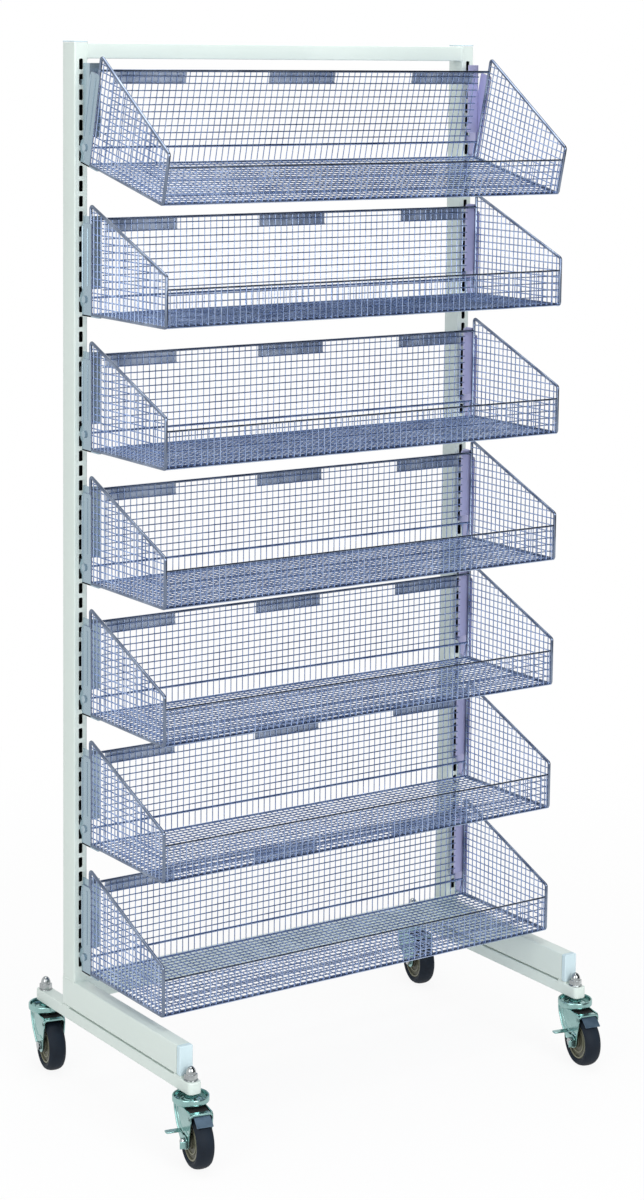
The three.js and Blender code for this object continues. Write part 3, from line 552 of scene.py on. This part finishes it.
# %% The wires of the mat
BACK_END, EDGE_GAP, TOP_GAP = 378.0, 6.0, 4.0
FLOOR_END, FRONT_START = FRONT + FRONT_BEND - 1, FRONT_BEND - 2
STIFFENERS = ((REAR, BACK_LOW, 4.2), (REAR - 1, 0, 4.2), (FRONT, 0.4, 3.6))
half_thin = THIN / 2


def wire_across(y, z, diameter, sides, end=BASKET_HALF):
    return bent_wire([(-end, y, z), (end, y, z)], diameter, sides)


def mat_wires():
    outer = mat_line(half_thin)
    low_back = [(outer[0][0], BACK_LOW), *outer[1:]]
    reach = BASKET_HALF - EDGE_GAP
    wires = []
    for x in np.linspace(-reach, reach, round(2 * reach / PITCH) + 1):
        line = outer if abs(x) < BACK_END else low_back
        wires.append(bent_wire([(x, y, z) for y, z in line], UPRIGHT, 6))
    for z in np.arange(BACK_LOW + PITCH, BACK_TOP - TOP_GAP, PITCH):
        wires.append(wire_across(REAR - half_thin, z, THIN, 6, BACK_END))
    levels = [(y, half_thin) for y in np.arange(REAR - EDGE_GAP, FLOOR_END, -PITCH)]
    levels += [(FRONT + half_thin, z) for z in np.arange(FRONT_START, FRONT_TOP - TOP_GAP, PITCH)]
    wires += [wire_across(y, z, THIN, 6) for y, z in levels]
    return wires + [wire_across(y, z, diameter, 8) for y, z, diameter in STIFFENERS]


thin = mat_wires()
print(len(thin), "wires in the mat of a basket")

# %% [markdown]
# A side panel is a flat net with a sloping top. Its upright wires follow the slope and the round
# corner at the front, and its level wires end where the slope cuts them.

# %% The wires of the side panels
FRONT_GAP = 2.0


def side_panel(side):
    outside, inside = side * (BASKET_HALF + half_thin), side * (BASKET_HALF - half_thin)
    wires = []
    for y in np.arange(REAR - PITCH, FRONT + FRONT_GAP, -PITCH):
        into_bend = max(FRONT + FRONT_BEND - y, 0)
        low = FRONT_BEND - math.sqrt(FRONT_BEND**2 - into_bend**2)
        wires.append(bent_wire([(outside, y, low), (outside, y, SIDE_REAR + FALL * (y - REAR))], THIN, 6))
    for z in np.arange(PITCH, SIDE_REAR - EDGE_GAP, PITCH):
        reach = FRONT if z < SIDE_FRONT else REAR - (SIDE_REAR - z) / FALL
        wires.append(bent_wire([(inside, REAR, z), (inside, reach, z)], THIN, 6))
    return wires


thin = from_pivot(thin + side_panel(-1) + side_panel(1))
print(len(thin), "thin wires in a basket")

# %% [markdown]
# Each side panel hangs in a closed loop of thick wire, and two straight wires finish the top of the
# back and of the front. They get more sides than the thin ones, as they are what the eye follows.

# %% The thicker edge wires
THICK, SLOPE_TURN, REAR_FOOT = 5.6, 112, 3.0
TOP_WIRES = ((REAR, BACK_TOP, 4.6), (FRONT, FRONT_TOP, 3.4))
edge_line = [(REAR, REAR_FOOT), (REAR, SIDE_REAR - 6)]
edge_line += arc(REAR - REAR_BEND, SIDE_REAR - 5.5, REAR_BEND, 0, SLOPE_TURN)
edge_line += arc(FRONT + FRONT_BEND, SIDE_FRONT - 4.5, FRONT_BEND, SLOPE_TURN, 180, 3)
edge_line += arc(FRONT + FRONT_BEND, FRONT_BEND, FRONT_BEND, 180, 270)
edge_line.append((REAR - REAR_FOOT, 0.0))
thick = [bent_wire([(x, y, z) for y, z in edge_line], THICK, 10, closed=True)
         for x in (-BASKET_HALF, BASKET_HALF)]
thick += [wire_across(y, z, diameter, 10) for y, z, diameter in TOP_WIRES]
thick = from_pivot(thick)
print(len(thick), "edge wires in a basket")

# %% [markdown]
# Three flat plates are welded along the top of the back. Each could be one strip, but a folded lip
# along its lower edge catches the light as bent sheet does, so a second thin strip is laid there.

# %% Plates along the back
PLATE_SPACING, PLATE_HALF, PLATE_HEIGHT, LIP_HEIGHT = 300, 67.5, 21, 2.2
plates = []
for middle in (-PLATE_SPACING, 0, PLATE_SPACING):
    x0, x1, low = middle - PLATE_HALF, middle + PLATE_HALF, BACK_TOP - PLATE_HEIGHT
    plates.append(extruded(rounded_box(x0, x1, low, BACK_TOP, 1.5, 2), REAR + 2.4, REAR + 3.4, "y"))
    plates.append(extruded(rounded_box(x0, x1, low, low + LIP_HEIGHT, 0.6, 2), REAR + 1.2, REAR + 3.0, "y"))
plates = from_pivot(plates)
print(len(plates) // 2, "plates in a basket")

# %% [markdown]
# At each end a hanger carries the basket. It is folded sheet with a round lobe at the rivet that it
# turns on, two pressed ribs, and a tab under the floor. The sheet is pale outside and lavender
# inside, so it is made as two thin layers with a finish each.

# %% Hangers at the ends
HANGER_REAR, HANGER_FRONT, HANGER_FOOT, HANGER_TOP = -9.0, -39.0, -3.8, 150.0
LINING_IN, SHEET_IN, SHEET_OUT, RIB_MIDDLE, RIB = 401.3, 402.0, 403.1, 402.9, 3.0
LOBE_RADIUS, LOBE_TURN, HANGER_CORNER = 16, 56, 4
TAB_IN, TAB_FRONT, TAB_HIGH, TAB_CORNER = 397, -64, -1.4, 1.2
RIVET = [(0.01, 403.0), (6, 403.0), (6, 404.2), (4.4, 405.4), (0.01, 405.6)]
top_centre = HANGER_TOP - HANGER_CORNER
hanger_line = [(HANGER_REAR, HANGER_FOOT), *arc(PIVOT[1], PIVOT[2], LOBE_RADIUS, -LOBE_TURN, LOBE_TURN, 8)]
hanger_line += arc(HANGER_REAR - HANGER_CORNER, top_centre, HANGER_CORNER, 0, 90, 3)
hanger_line += arc(HANGER_FRONT + HANGER_CORNER, top_centre, HANGER_CORNER, 90, 180, 3)
hanger_line.append((HANGER_FRONT, HANGER_FOOT))
ribs = [[(HANGER_REAR - 1.5, 42), (HANGER_REAR - 1.5, HANGER_TOP - 5)], [(-27, 48), (-27, HANGER_TOP - 8)]]


def hanger_sheet(side, inner, outer):
    x0, x1 = sorted((side * inner, side * outer))
    return extruded(hanger_line, x0, x1, "x")


def hanger_parts(side):
    parts = [hanger_sheet(side, SHEET_IN, SHEET_OUT)]
    parts += [bent_wire([(side * RIB_MIDDLE, y, z) for y, z in rib], RIB, 8) for rib in ribs]
    rivet = turned(RIVET, 24, "x")
    parts.append(moved((rivet[0] * np.array([side, 1, 1]), rivet[1]), *PIVOT))
    x0, x1 = sorted((side * TAB_IN, side * SHEET_OUT))
    tab = rounded_box(x0, x1, TAB_FRONT, HANGER_REAR, TAB_CORNER, 2)
    return [*parts, extruded(tab, HANGER_FOOT, TAB_HIGH)]


hangers = from_pivot(hanger_parts(-1) + hanger_parts(1))
linings = from_pivot([hanger_sheet(side, LINING_IN, SHEET_IN) for side in (-1, 1)])
print(len(linings), "hangers in a basket")

# %% [markdown]
# All seven baskets are the same, so they are placed from the frame's own pivots. The top one is
# tipped forward to show the bread, and the others hang level. The wires are shaded smooth round
# their few sides, because a plated wire shows a soft streak of light and not a facet.

# %% Hang the seven baskets on their pivots
TILT, BASKET_COUNT, ROUND = math.radians(13), 7, 75
for number in range(1, BASKET_COUNT + 1):
    pivot = Vector(joints[f"basket_{number}_tilt"]["pos_m"])
    turn = Matrix.Rotation(TILT if number == 1 else 0, 4, "X")
    place = Matrix.Translation(pivot) @ turn
    body = f"basket_{number}"
    mesh = make_piece(f"{body}_wire_mesh", thin, bright_wire, body, place, smooth=ROUND)
    # the edge wires take the darker colour of painted dark reflection
    make_piece(f"{body}_edge_wires", thick, reflection_darkened_wire, body, place, smooth=ROUND)
    make_piece(f"{body}_back_plates", plates, back_plate, body, place)
    make_piece(f"{body}_hangers", [hangers, linings], [pale_plate, lavender_plate], body, place)
    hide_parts(body)
print("each basket has", len(mesh.data.polygons), "faces of thin wire")

# %% [markdown]
# The brackets hook into the slots and stay on the post. Their solids already have the folds and
# hooks of the real ones, so they are kept, and only take the plated finish. From the left front the left
# ones show their pale outer side and the right ones their lavender inner side.

# %% Brackets keep their solids
for side in SIDES:
    for number in range(1, BASKET_COUNT + 1):
        bracket = frame["nodes"][f"{side}_bracket_{number}"]
        bracket.data.materials.clear()
        bracket.data.materials.append(pale_plate if side == "left" else lavender_plate)
print("brackets take", pale_plate.name, "on the left and", lavender_plate.name, "on the right")

# %% [markdown]
# ## Casters
# Each caster is a pressed fork under a bowl of bearing races, with the wheel set off from the
# stem so that it trails. All four are turned a little the same way, as they are after the rack was
# rolled into place.

# %% Where the casters stand
TRAIL, CASTER_TURN = 30.0, math.radians(-11)
STATIONS = [f"{end}_{side}" for end in ("front", "rear") for side in ("left", "right")]


def stem_place(station):
    stem = joints[f"{station}_swivel_turn"]["pos_m"]
    return Matrix.Translation((stem[0], stem[1], 0))


def caster_place(station):
    return stem_place(station) @ Matrix.Rotation(CASTER_TURN, 4, "Z")


def axle_place(station):
    return caster_place(station) @ Matrix.Translation((0, -TRAIL * MM, AXLE_Z * MM))


print("casters stand at", [[round(v, 3) for v in stem_place(s).translation[:2]] for s in STATIONS])

# %% [markdown]
# An acorn nut is a hexagon under a dome. The hexagon's corners are rounded off by a cone, which a
# small bevel stands for, and the dome is a turned profile. Below the rail the swivel head is turned
# as well: its widest step stands for the upper race.

# %% Nuts and swivel heads
NUT_CORNER, NUT_LOW, NUT_HIGH = 10.97, 1, 10.5
DOME_RADIUS, DOME_FOOT, DOME_HEIGHT = 8.5, 11, 12
HEAD_HEIGHT = 19
FORK_FLOOR = RAIL_LOW - HEAD_HEIGHT


def hexagon(corner, turn):
    angles = [math.radians(60 * i + turn) for i in range(6)]
    return [(corner * math.cos(angle), corner * math.sin(angle)) for angle in angles]


dome = [(0.01, -1), (8.8, -1), (8.8, 10)]
for t in np.linspace(0.02, 1.55, 9):
    dome.append((DOME_RADIUS * math.cos(t), DOME_FOOT + DOME_HEIGHT * math.sin(t)))
washer = [(0.01, 0), (11.4, 0), (11.9, 0.5), (11.9, 1.2), (11.4, 1.6), (0.01, 1.6)]
head = [(0.01, -3.8), (7.5, -3.8), (9, -2.6), (9, -0.6), (5.9, -0.4), (5.9, 3.4), (18, 3.4), (18.8, 4.4),
        (18.8, 8.4), (17.5, 9.3), (12, 9.3), (11, 10.4), (11, HEAD_HEIGHT), (0.01, HEAD_HEIGHT)]
nut_parts = [extruded(hexagon(NUT_CORNER, 30), NUT_LOW, NUT_HIGH), turned(dome, 32), turned(washer, 32)]
for station in STATIONS:
    place = stem_place(station)
    nut = make_piece(f"{station}_domed_nut", nut_parts, chrome, "frame",
                     place @ Matrix.Translation((0, 0, RAIL_HIGH * MM)), bevel=0.5)
    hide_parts(f"{station}_acorn_nut")
    core = make_piece(f"{station}_bearing_head", [turned(head, 40)], zinc_plate, "frame",
                      place @ Matrix.Translation((0, 0, FORK_FLOOR * MM)))
    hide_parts(f"{station}_swivel_head")
print(len(STATIONS), "nuts and swivel heads")

# %% [markdown]
# The fork is pressed from one sheet: a bowl with a rolled rim, two cheeks that sweep forward to the
# axle, and a folded lip over the tyre. The bowl is turned, and the cheeks are outlines in the plane
# of the wheel. Wires half sunk in a cheek stand for its rolled rear edge and pressed ribs.

# %% Outlines of a fork
CHEEK_IN, CHEEK_OUT, FORK_NOSE = 17.1, 19.6, -50.0
bowl = [(6.6, 0), (21, 0), (25.4, 1.2), (26.4, 3.2), (28.8, 4.4), (30.2, 5.8), (30.2, 13.6), (29.5, 15),
        (27.8, 15), (27.0, 13.8), (26.8, 8.6), (23, 4.6), (20, 3.2), (6.6, 3.2)]
bowl = [(radius, FORK_FLOOR + rise) for radius, rise in bowl]
cheek = [(21, 98), (23, 92), (20, 80), (10, 62), (-9, 42), *arc(-TRAIL, AXLE_Z, 12, -45, -180, 8)]
cheek += [(-44, 60), (-48, 74), (FORK_NOSE, 86), (FORK_NOSE, 93), (-46, 97)]
rear_edge = [(21.5, 95), (22.4, 91), (19.6, 80), (9.6, 62), (-9, 43)]
pressed_rib = [(9, 92), (8, 80), (-5, 66), (-18, 58)]
axle_ledge = [(-16, 57), (-29, 61), (-42, 58)]
CHEEK_WIRES = ((rear_edge, 4.0), (pressed_rib, 2.6), (axle_ledge, 4.4))
print("fork cheeks have", len(cheek), "corners")

# %% [markdown]
# The lip is a flat U that joins the cheeks at the front, with a round bend at each corner. Behind it
# a plate, near black with painted shade for the recess over the tyre, closes the view into the bowl.
# The front forks also hold a brake plate, curved like the tread it presses on.

# %% Forks
LIP_FOOT, LIP_DEPTH = 84, 9
OUTER_BEND, OUTER_CENTRE, INNER_BEND, INNER_CENTRE = 6, 90.4, 4, 89
# a flat plate in the near-black painted shade, for the shade in the recess over the tyre
SHADE_PLATE_LOW, SHADE_PLATE_HIGH, SHADE_PLATE_REAR, SHADE_PLATE_PROUD = 92.4, 94.4, -8, 0.3
BRAKE_IN, BRAKE_OUT, BRAKE_HALF, BRAKE_START, BRAKE_END = 48.5, 50.9, 14, 104, 136
lip = [(-CHEEK_OUT, LIP_FOOT), *arc(OUTER_BEND - CHEEK_OUT, OUTER_CENTRE, OUTER_BEND, 180, 90)]
lip += [*arc(CHEEK_OUT - OUTER_BEND, OUTER_CENTRE, OUTER_BEND, 90, 0), (CHEEK_OUT, LIP_FOOT)]
lip += [(CHEEK_IN, LIP_FOOT), *arc(CHEEK_IN - INNER_BEND, INNER_CENTRE, INNER_BEND, 0, 90)]
lip += [*arc(INNER_BEND - CHEEK_IN, INNER_CENTRE, INNER_BEND, 90, 180), (-CHEEK_IN, LIP_FOOT)]
shade_plate_side = CHEEK_IN + SHADE_PLATE_PROUD
shade_plate = rounded_box(-shade_plate_side, shade_plate_side, FORK_NOSE + LIP_DEPTH - 1, SHADE_PLATE_REAR, 2, 3)
brake = arc(-TRAIL, AXLE_Z, BRAKE_IN, BRAKE_START, BRAKE_END, 6)
brake += arc(-TRAIL, AXLE_Z, BRAKE_OUT, BRAKE_END, BRAKE_START, 6)


def fork_parts(braked):
    pressed = [turned(bowl, 48)]
    for side in (-1, 1):
        x0, x1 = sorted((side * CHEEK_IN, side * CHEEK_OUT))
        pressed.append(extruded(cheek, x0, x1, "x"))
        for line, diameter in CHEEK_WIRES:
            pressed.append(bent_wire([(side * (CHEEK_OUT - 0.2), y, z) for y, z in line], diameter, 8))
    pressed.append(extruded(lip, FORK_NOSE, FORK_NOSE + LIP_DEPTH, "y"))
    # the second finish group is the plate of painted shade
    groups = [pressed, [extruded(shade_plate, SHADE_PLATE_LOW, SHADE_PLATE_HIGH)]]
    if braked:
        groups.append([extruded(brake, -BRAKE_HALF, BRAKE_HALF, "x")])
    return groups


for station in STATIONS:
    fork = make_piece(f"{station}_pressed_fork", fork_parts(station.startswith("front")),
                      [zinc_plate, painted_shade_inside, brake_steel], f"{station}_swivel", caster_place(station),
                      bevel=0.5)
    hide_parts(f"{station}_fork")
print("forks stand", round(FORK_FLOOR, 1), "mm up to the floor of the bowl")

# %% [markdown]
# The wheel is a moulded hub with two raised rings and a solid rubber tyre with a rounded tread. All
# of it is turned, so profiles are enough, and more points go where the light catches the shoulder.
# Both sides are the same, so half a profile is written and mirrored.


# %% Hubs and tyres
def both_halves(half_profile):
    return [(radius, -half) for radius, half in half_profile[::-1]] + half_profile


shoulder = [(44.95, 2.4), (44.5, 6.4), (43.2, 10.4), (41.0, 13.4), (38.2, 15.0), (35.2, 14.6), (32.1, 12.6)]
disc = [(31.7, 11.6), (28.2, 11.4), (27.6, 9.8), (16, 9.8), (12, 10.8), (12, 14.2), (11.2, 15), (5.6, 15)]
inner_ring = [(19, 9.7), (19.6, 11.2), (21.6, 11.2), (22.2, 9.7)]
outer_ring = [(28.4, 11.3), (28.8, 12.6), (31.2, 12.6), (31.6, 11.3)]
rings = [turned([(radius, side * half) for radius, half in ring], 64, "x")
         for ring in (inner_ring, outer_ring) for side in (-1, 1)]
hub_parts = [[turned(both_halves(disc), 64, "x")], rings]
tyre_parts = [turned(both_halves(shoulder), 72, "x")]
print("tyres are", 2 * AXLE_Z, "mm across")

# %% [markdown]
# The axle is a bolt with a hexagon at each end. On the front casters it is longer on the left, where
# the brake pedal sits on it. It rides on the fork, and the hub and tyre turn round it.

# %% Wheels on their axles
SHANK, BOLT_CORNER, BOLT_HEAD, NUT_SEAT, NUT_END = 5, 7.6, 5, 20, 24.8
HEAD_SEAT, BRAKED_HEAD_SEAT = 20.0, 22.8
bolt_hexagon = hexagon(BOLT_CORNER, 0)
for station in STATIONS:
    place = axle_place(station)
    body = f"{station}_wheel"
    tyre = make_piece(f"{station}_rubber_tyre", tyre_parts, tyre_rubber, body, place)
    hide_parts(f"{station}_tyre")
    hub = make_piece(f"{station}_moulded_hub", hub_parts, [hub_plastic, ring_plastic], body, place)
    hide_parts(f"{station}_hub")
    seat = BRAKED_HEAD_SEAT if station.startswith("front") else HEAD_SEAT
    shank = [(0.01, -seat - 1), (SHANK, -seat - 1), (SHANK, NUT_SEAT + 0.2), (0.01, NUT_SEAT + 0.2)]
    ends = [extruded(bolt_hexagon, -seat - BOLT_HEAD, -seat, "x"),
            extruded(bolt_hexagon, NUT_SEAT, NUT_END, "x")]
    axle = make_piece(f"{station}_axle_bolt", [turned(shank, 24, "x"), *ends], chrome, f"{station}_swivel",
                      place, bevel=0.4)
    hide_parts(f"{station}_axle")
print(len(STATIONS), "wheels on their axles")

# %% [markdown]
# The brake pedal is a small rocker on the axle with two bent steps. It keeps its solid's place and
# gets rounded ends and a folded edge, so it reads as pressed sheet.

# %% Brake pedals
ROCKER_IN, ROCKER_OUT, STEP_END, TAIL_END = -20.0, -22.4, -45.6, -33.6
rocker = arc(0, 0, 11.5, 60, 290, 12) + [(8, -5), (22, 4), (30, 6), (30, 11.5), (18, 12)]
pedal_parts = [extruded(rocker, ROCKER_OUT, ROCKER_IN, "x"),
               extruded(rounded_box(STEP_END, ROCKER_IN, 18, 30, 3, 3), 9.5, 11.9),
               extruded(rounded_box(-12, -9.5, -6, 6, 1, 2), TAIL_END, ROCKER_IN, "x")]
for station in STATIONS[:2]:
    pedal = make_piece(f"{station}_pressed_pedal", pedal_parts, zinc_plate, f"{station}_pedal",
                       axle_place(station), bevel=0.6)
    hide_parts(f"{station}_brake_pedal")
print("two brake pedals")

# %% [markdown]
# ## Studio
# A white floor and soft lamps. The world is plain grey light for the object, and white where the
# camera or a reflection sees it, so that the ground is as white as in a catalogue picture. The Light
# Path node tells these rays apart, and the floor keeps a tenth of its own shade near the rack, so
# that the shadow still shows.


# %% What the camera and reflections see as white
def shown_white(nodes, links):
    path = nodes.new("ShaderNodeLightPath")
    first = nodes.new("ShaderNodeMath")
    first.operation = "MAXIMUM"
    second = nodes.new("ShaderNodeMath")
    second.operation = "MAXIMUM"
    links.new(path.outputs["Is Camera Ray"], first.inputs[0])
    links.new(path.outputs["Is Glossy Ray"], first.inputs[1])
    links.new(first.outputs[0], second.inputs[0])
    links.new(path.outputs["Is Transmission Ray"], second.inputs[1])
    return second.outputs[0]


print("camera, glossy and transmission rays see the white ground")

# %% [markdown]
# The floor is pale paper that turns into plain white with distance from the rack, by a smooth step
# of the distance. That keeps the shadow near the wheels and hides where the floor ends.

# %% Floor
FLOOR_SIZE, PAPER, PAPER_ROUGHNESS = 60, (0.9, 0.9, 0.9, 1), 0.9
FADE_START, FADE_END, NEAR_WHITE = 0.5, 2.2, 0.9
bpy.ops.mesh.primitive_plane_add(size=FLOOR_SIZE, location=(0, 0, 0))
floor = bpy.context.object
floor.name = "studio_floor"
pale = bpy.data.materials.new("pale_floor")
pale.use_nodes = True
nodes, links = pale.node_tree.nodes, pale.node_tree.links
paper = nodes["Principled BSDF"]
paper.inputs["Base Color"].default_value = PAPER
paper.inputs["Roughness"].default_value = PAPER_ROUGHNESS
place_on_floor = nodes.new("ShaderNodeTexCoord")
distance = nodes.new("ShaderNodeVectorMath")
distance.operation = "LENGTH"
links.new(place_on_floor.outputs["Object"], distance.inputs[0])
fade = nodes.new("ShaderNodeMapRange")
fade.interpolation_type = "SMOOTHSTEP"
fade.inputs["From Min"].default_value = FADE_START
fade.inputs["From Max"].default_value = FADE_END
fade.inputs["To Min"].default_value = NEAR_WHITE
fade.inputs["To Max"].default_value = 1.0
links.new(distance.outputs["Value"], fade.inputs["Value"])
amount = nodes.new("ShaderNodeMath")
amount.operation = "MULTIPLY"
links.new(fade.outputs["Result"], amount.inputs[0])
links.new(shown_white(nodes, links), amount.inputs[1])
glow = nodes.new("ShaderNodeEmission")
blend = nodes.new("ShaderNodeMixShader")
links.new(amount.outputs[0], blend.inputs["Fac"])
links.new(paper.outputs["BSDF"], blend.inputs[1])
links.new(glow.outputs["Emission"], blend.inputs[2])
links.new(blend.outputs["Shader"], nodes["Material Output"].inputs["Surface"])
floor.data.materials.append(pale)
print("floor is white from", FADE_END, "m out")

# %% [markdown]
# The world is the light of the whole room. It is kept below half strength for the object, so that
# the lamps still model it, and at full white for what the camera sees behind it.

# %% World
WORLD_STRENGTH, WHITE = 0.45, (1, 1, 1, 1)
world = bpy.data.worlds.new("studio_world")
bpy.context.scene.world = world
world.use_nodes = True
nodes, links = world.node_tree.nodes, world.node_tree.links
grey = nodes["Background"]
grey.inputs["Color"].default_value = WHITE
grey.inputs["Strength"].default_value = WORLD_STRENGTH
white = nodes.new("ShaderNodeBackground")
white.inputs["Color"].default_value = WHITE
white.inputs["Strength"].default_value = 1.0
either = nodes.new("ShaderNodeMixShader")
links.new(shown_white(nodes, links), either.inputs["Fac"])
links.new(grey.outputs["Background"], either.inputs[1])
links.new(white.outputs["Background"], either.inputs[2])
links.new(either.outputs["Shader"], nodes["World Output"].inputs["Surface"])
print("world lights the rack at", WORLD_STRENGTH)

# %% [markdown]
# Bright wire in a white room would look white all over. A photographer stands black cards, called
# flags, beside the set, and the wires show them as dark lines. Here a flag is a plane that only
# glossy rays see, so it shades the reflections and takes no light from the rack.

# %% Flags for the wires to reflect
CARD = (0.010, 0.014, 0.03, 1)


def dark_flag(name, place, target, width, height):
    bpy.ops.mesh.primitive_plane_add(size=1, location=place)
    flag = bpy.context.object
    flag.name = name
    flag.rotation_mode = "QUATERNION"
    flag.rotation_quaternion = (Vector(target) - Vector(place)).to_track_quat("Z", "Y")
    flag.scale = (width, height, 1)
    for ray in ("camera", "diffuse", "transmission", "volume_scatter", "shadow"):
        setattr(flag, f"visible_{ray}", False)
    card = bpy.data.materials.new(name)
    card.use_nodes = True
    card_shader = card.node_tree.nodes["Principled BSDF"]
    card_shader.inputs["Base Color"].default_value = CARD
    card_shader.inputs["Roughness"].default_value = 1.0
    flag.data.materials.append(card)


dark_flag("right_flag", place=(2.8, -3.0, 2.2), target=(0, 0, 0.9), width=4.6, height=5.2)
dark_flag("ceiling_flag", place=(2.4, -1.0, 4.8), target=(0, -0.2, 0.9), width=4.6, height=5.0)
print("two dark flags")

# %% [markdown]
# Three large round lamps light the rack: the key from the front, a weaker fill from the left, and
# one from above. The key stands where the long wires don't throw its light at the camera: they would
# if it stood to the right, and then every one of them would flare.


# %% Lamps
def soft_lamp(name, place, target, size, watts):
    lamp = bpy.data.lights.new(name, "AREA")
    lamp.shape = "DISK"
    lamp.size = size
    lamp.energy = watts
    holder = bpy.data.objects.new(name, lamp)
    bpy.context.scene.collection.objects.link(holder)
    holder.location = place
    holder.rotation_mode = "QUATERNION"
    holder.rotation_quaternion = (Vector(target) - Vector(place)).to_track_quat("-Z", "Y")


soft_lamp("key_softbox", place=(-0.2, -4.4, 2.6), target=(0, 0, 0.9), size=2.6, watts=118)
soft_lamp("fill_softbox", place=(-3.4, -1.6, 2.0), target=(0, 0, 0.8), size=2.6, watts=45)
soft_lamp("top_softbox", place=(0.0, 0.2, 3.8), target=(0, 0, 0.9), size=2.6, watts=50)
print("three soft lamps")

# %% [markdown]
# ## Camera
# The photograph looks at the rack from its left front, a little from above, with a long lens. Its
# place and lens were found by fitting the slots and corners of the frame to the picture. The lens
# and its centre are in pixels of the photograph. The place is in millimetres from the middle of the
# posts' front face, and its height from the top slot.

# %% Camera
PHOTO_WIDTH, PHOTO_HEIGHT, SENSOR = 644, 1200, 36
FOCAL, CENTRE_X, CENTRE_Y = 2621.5, 285.5, 369.1
AZIMUTH, PITCH_DOWN, ROLL = math.radians(33.88), math.radians(6.99), math.radians(0.58)
EYE_X, EYE_Y, EYE_RISE = -2529.4, -3781.4, 29.9
lens = bpy.data.cameras.new("photo_camera")
lens.sensor_width = SENSOR
lens.lens = FOCAL * SENSOR / PHOTO_HEIGHT
lens.shift_x = (PHOTO_WIDTH / 2 - CENTRE_X) / PHOTO_HEIGHT
lens.shift_y = (CENTRE_Y - PHOTO_HEIGHT / 2) / PHOTO_HEIGHT
lens.clip_end = 100
camera = bpy.data.objects.new("photo_camera", lens)
bpy.context.scene.collection.objects.link(camera)
level = math.cos(PITCH_DOWN)
ahead = Vector((math.sin(AZIMUTH) * level, math.cos(AZIMUTH) * level, -math.sin(PITCH_DOWN)))
camera.rotation_mode = "QUATERNION"
camera.rotation_quaternion = ahead.to_track_quat("-Z", "Y") @ Matrix.Rotation(ROLL, 3, "Z").to_quaternion()
camera.location = Vector(((EYE_X + MID_X) * MM, (EYE_Y + FRONT_Y) * MM, (EYE_RISE + TOP_SLOT) * MM))
bpy.context.scene.camera = camera
bpy.context.scene.view_settings.view_transform = "Standard"
print("camera at", [round(v, 3) for v in camera.location])
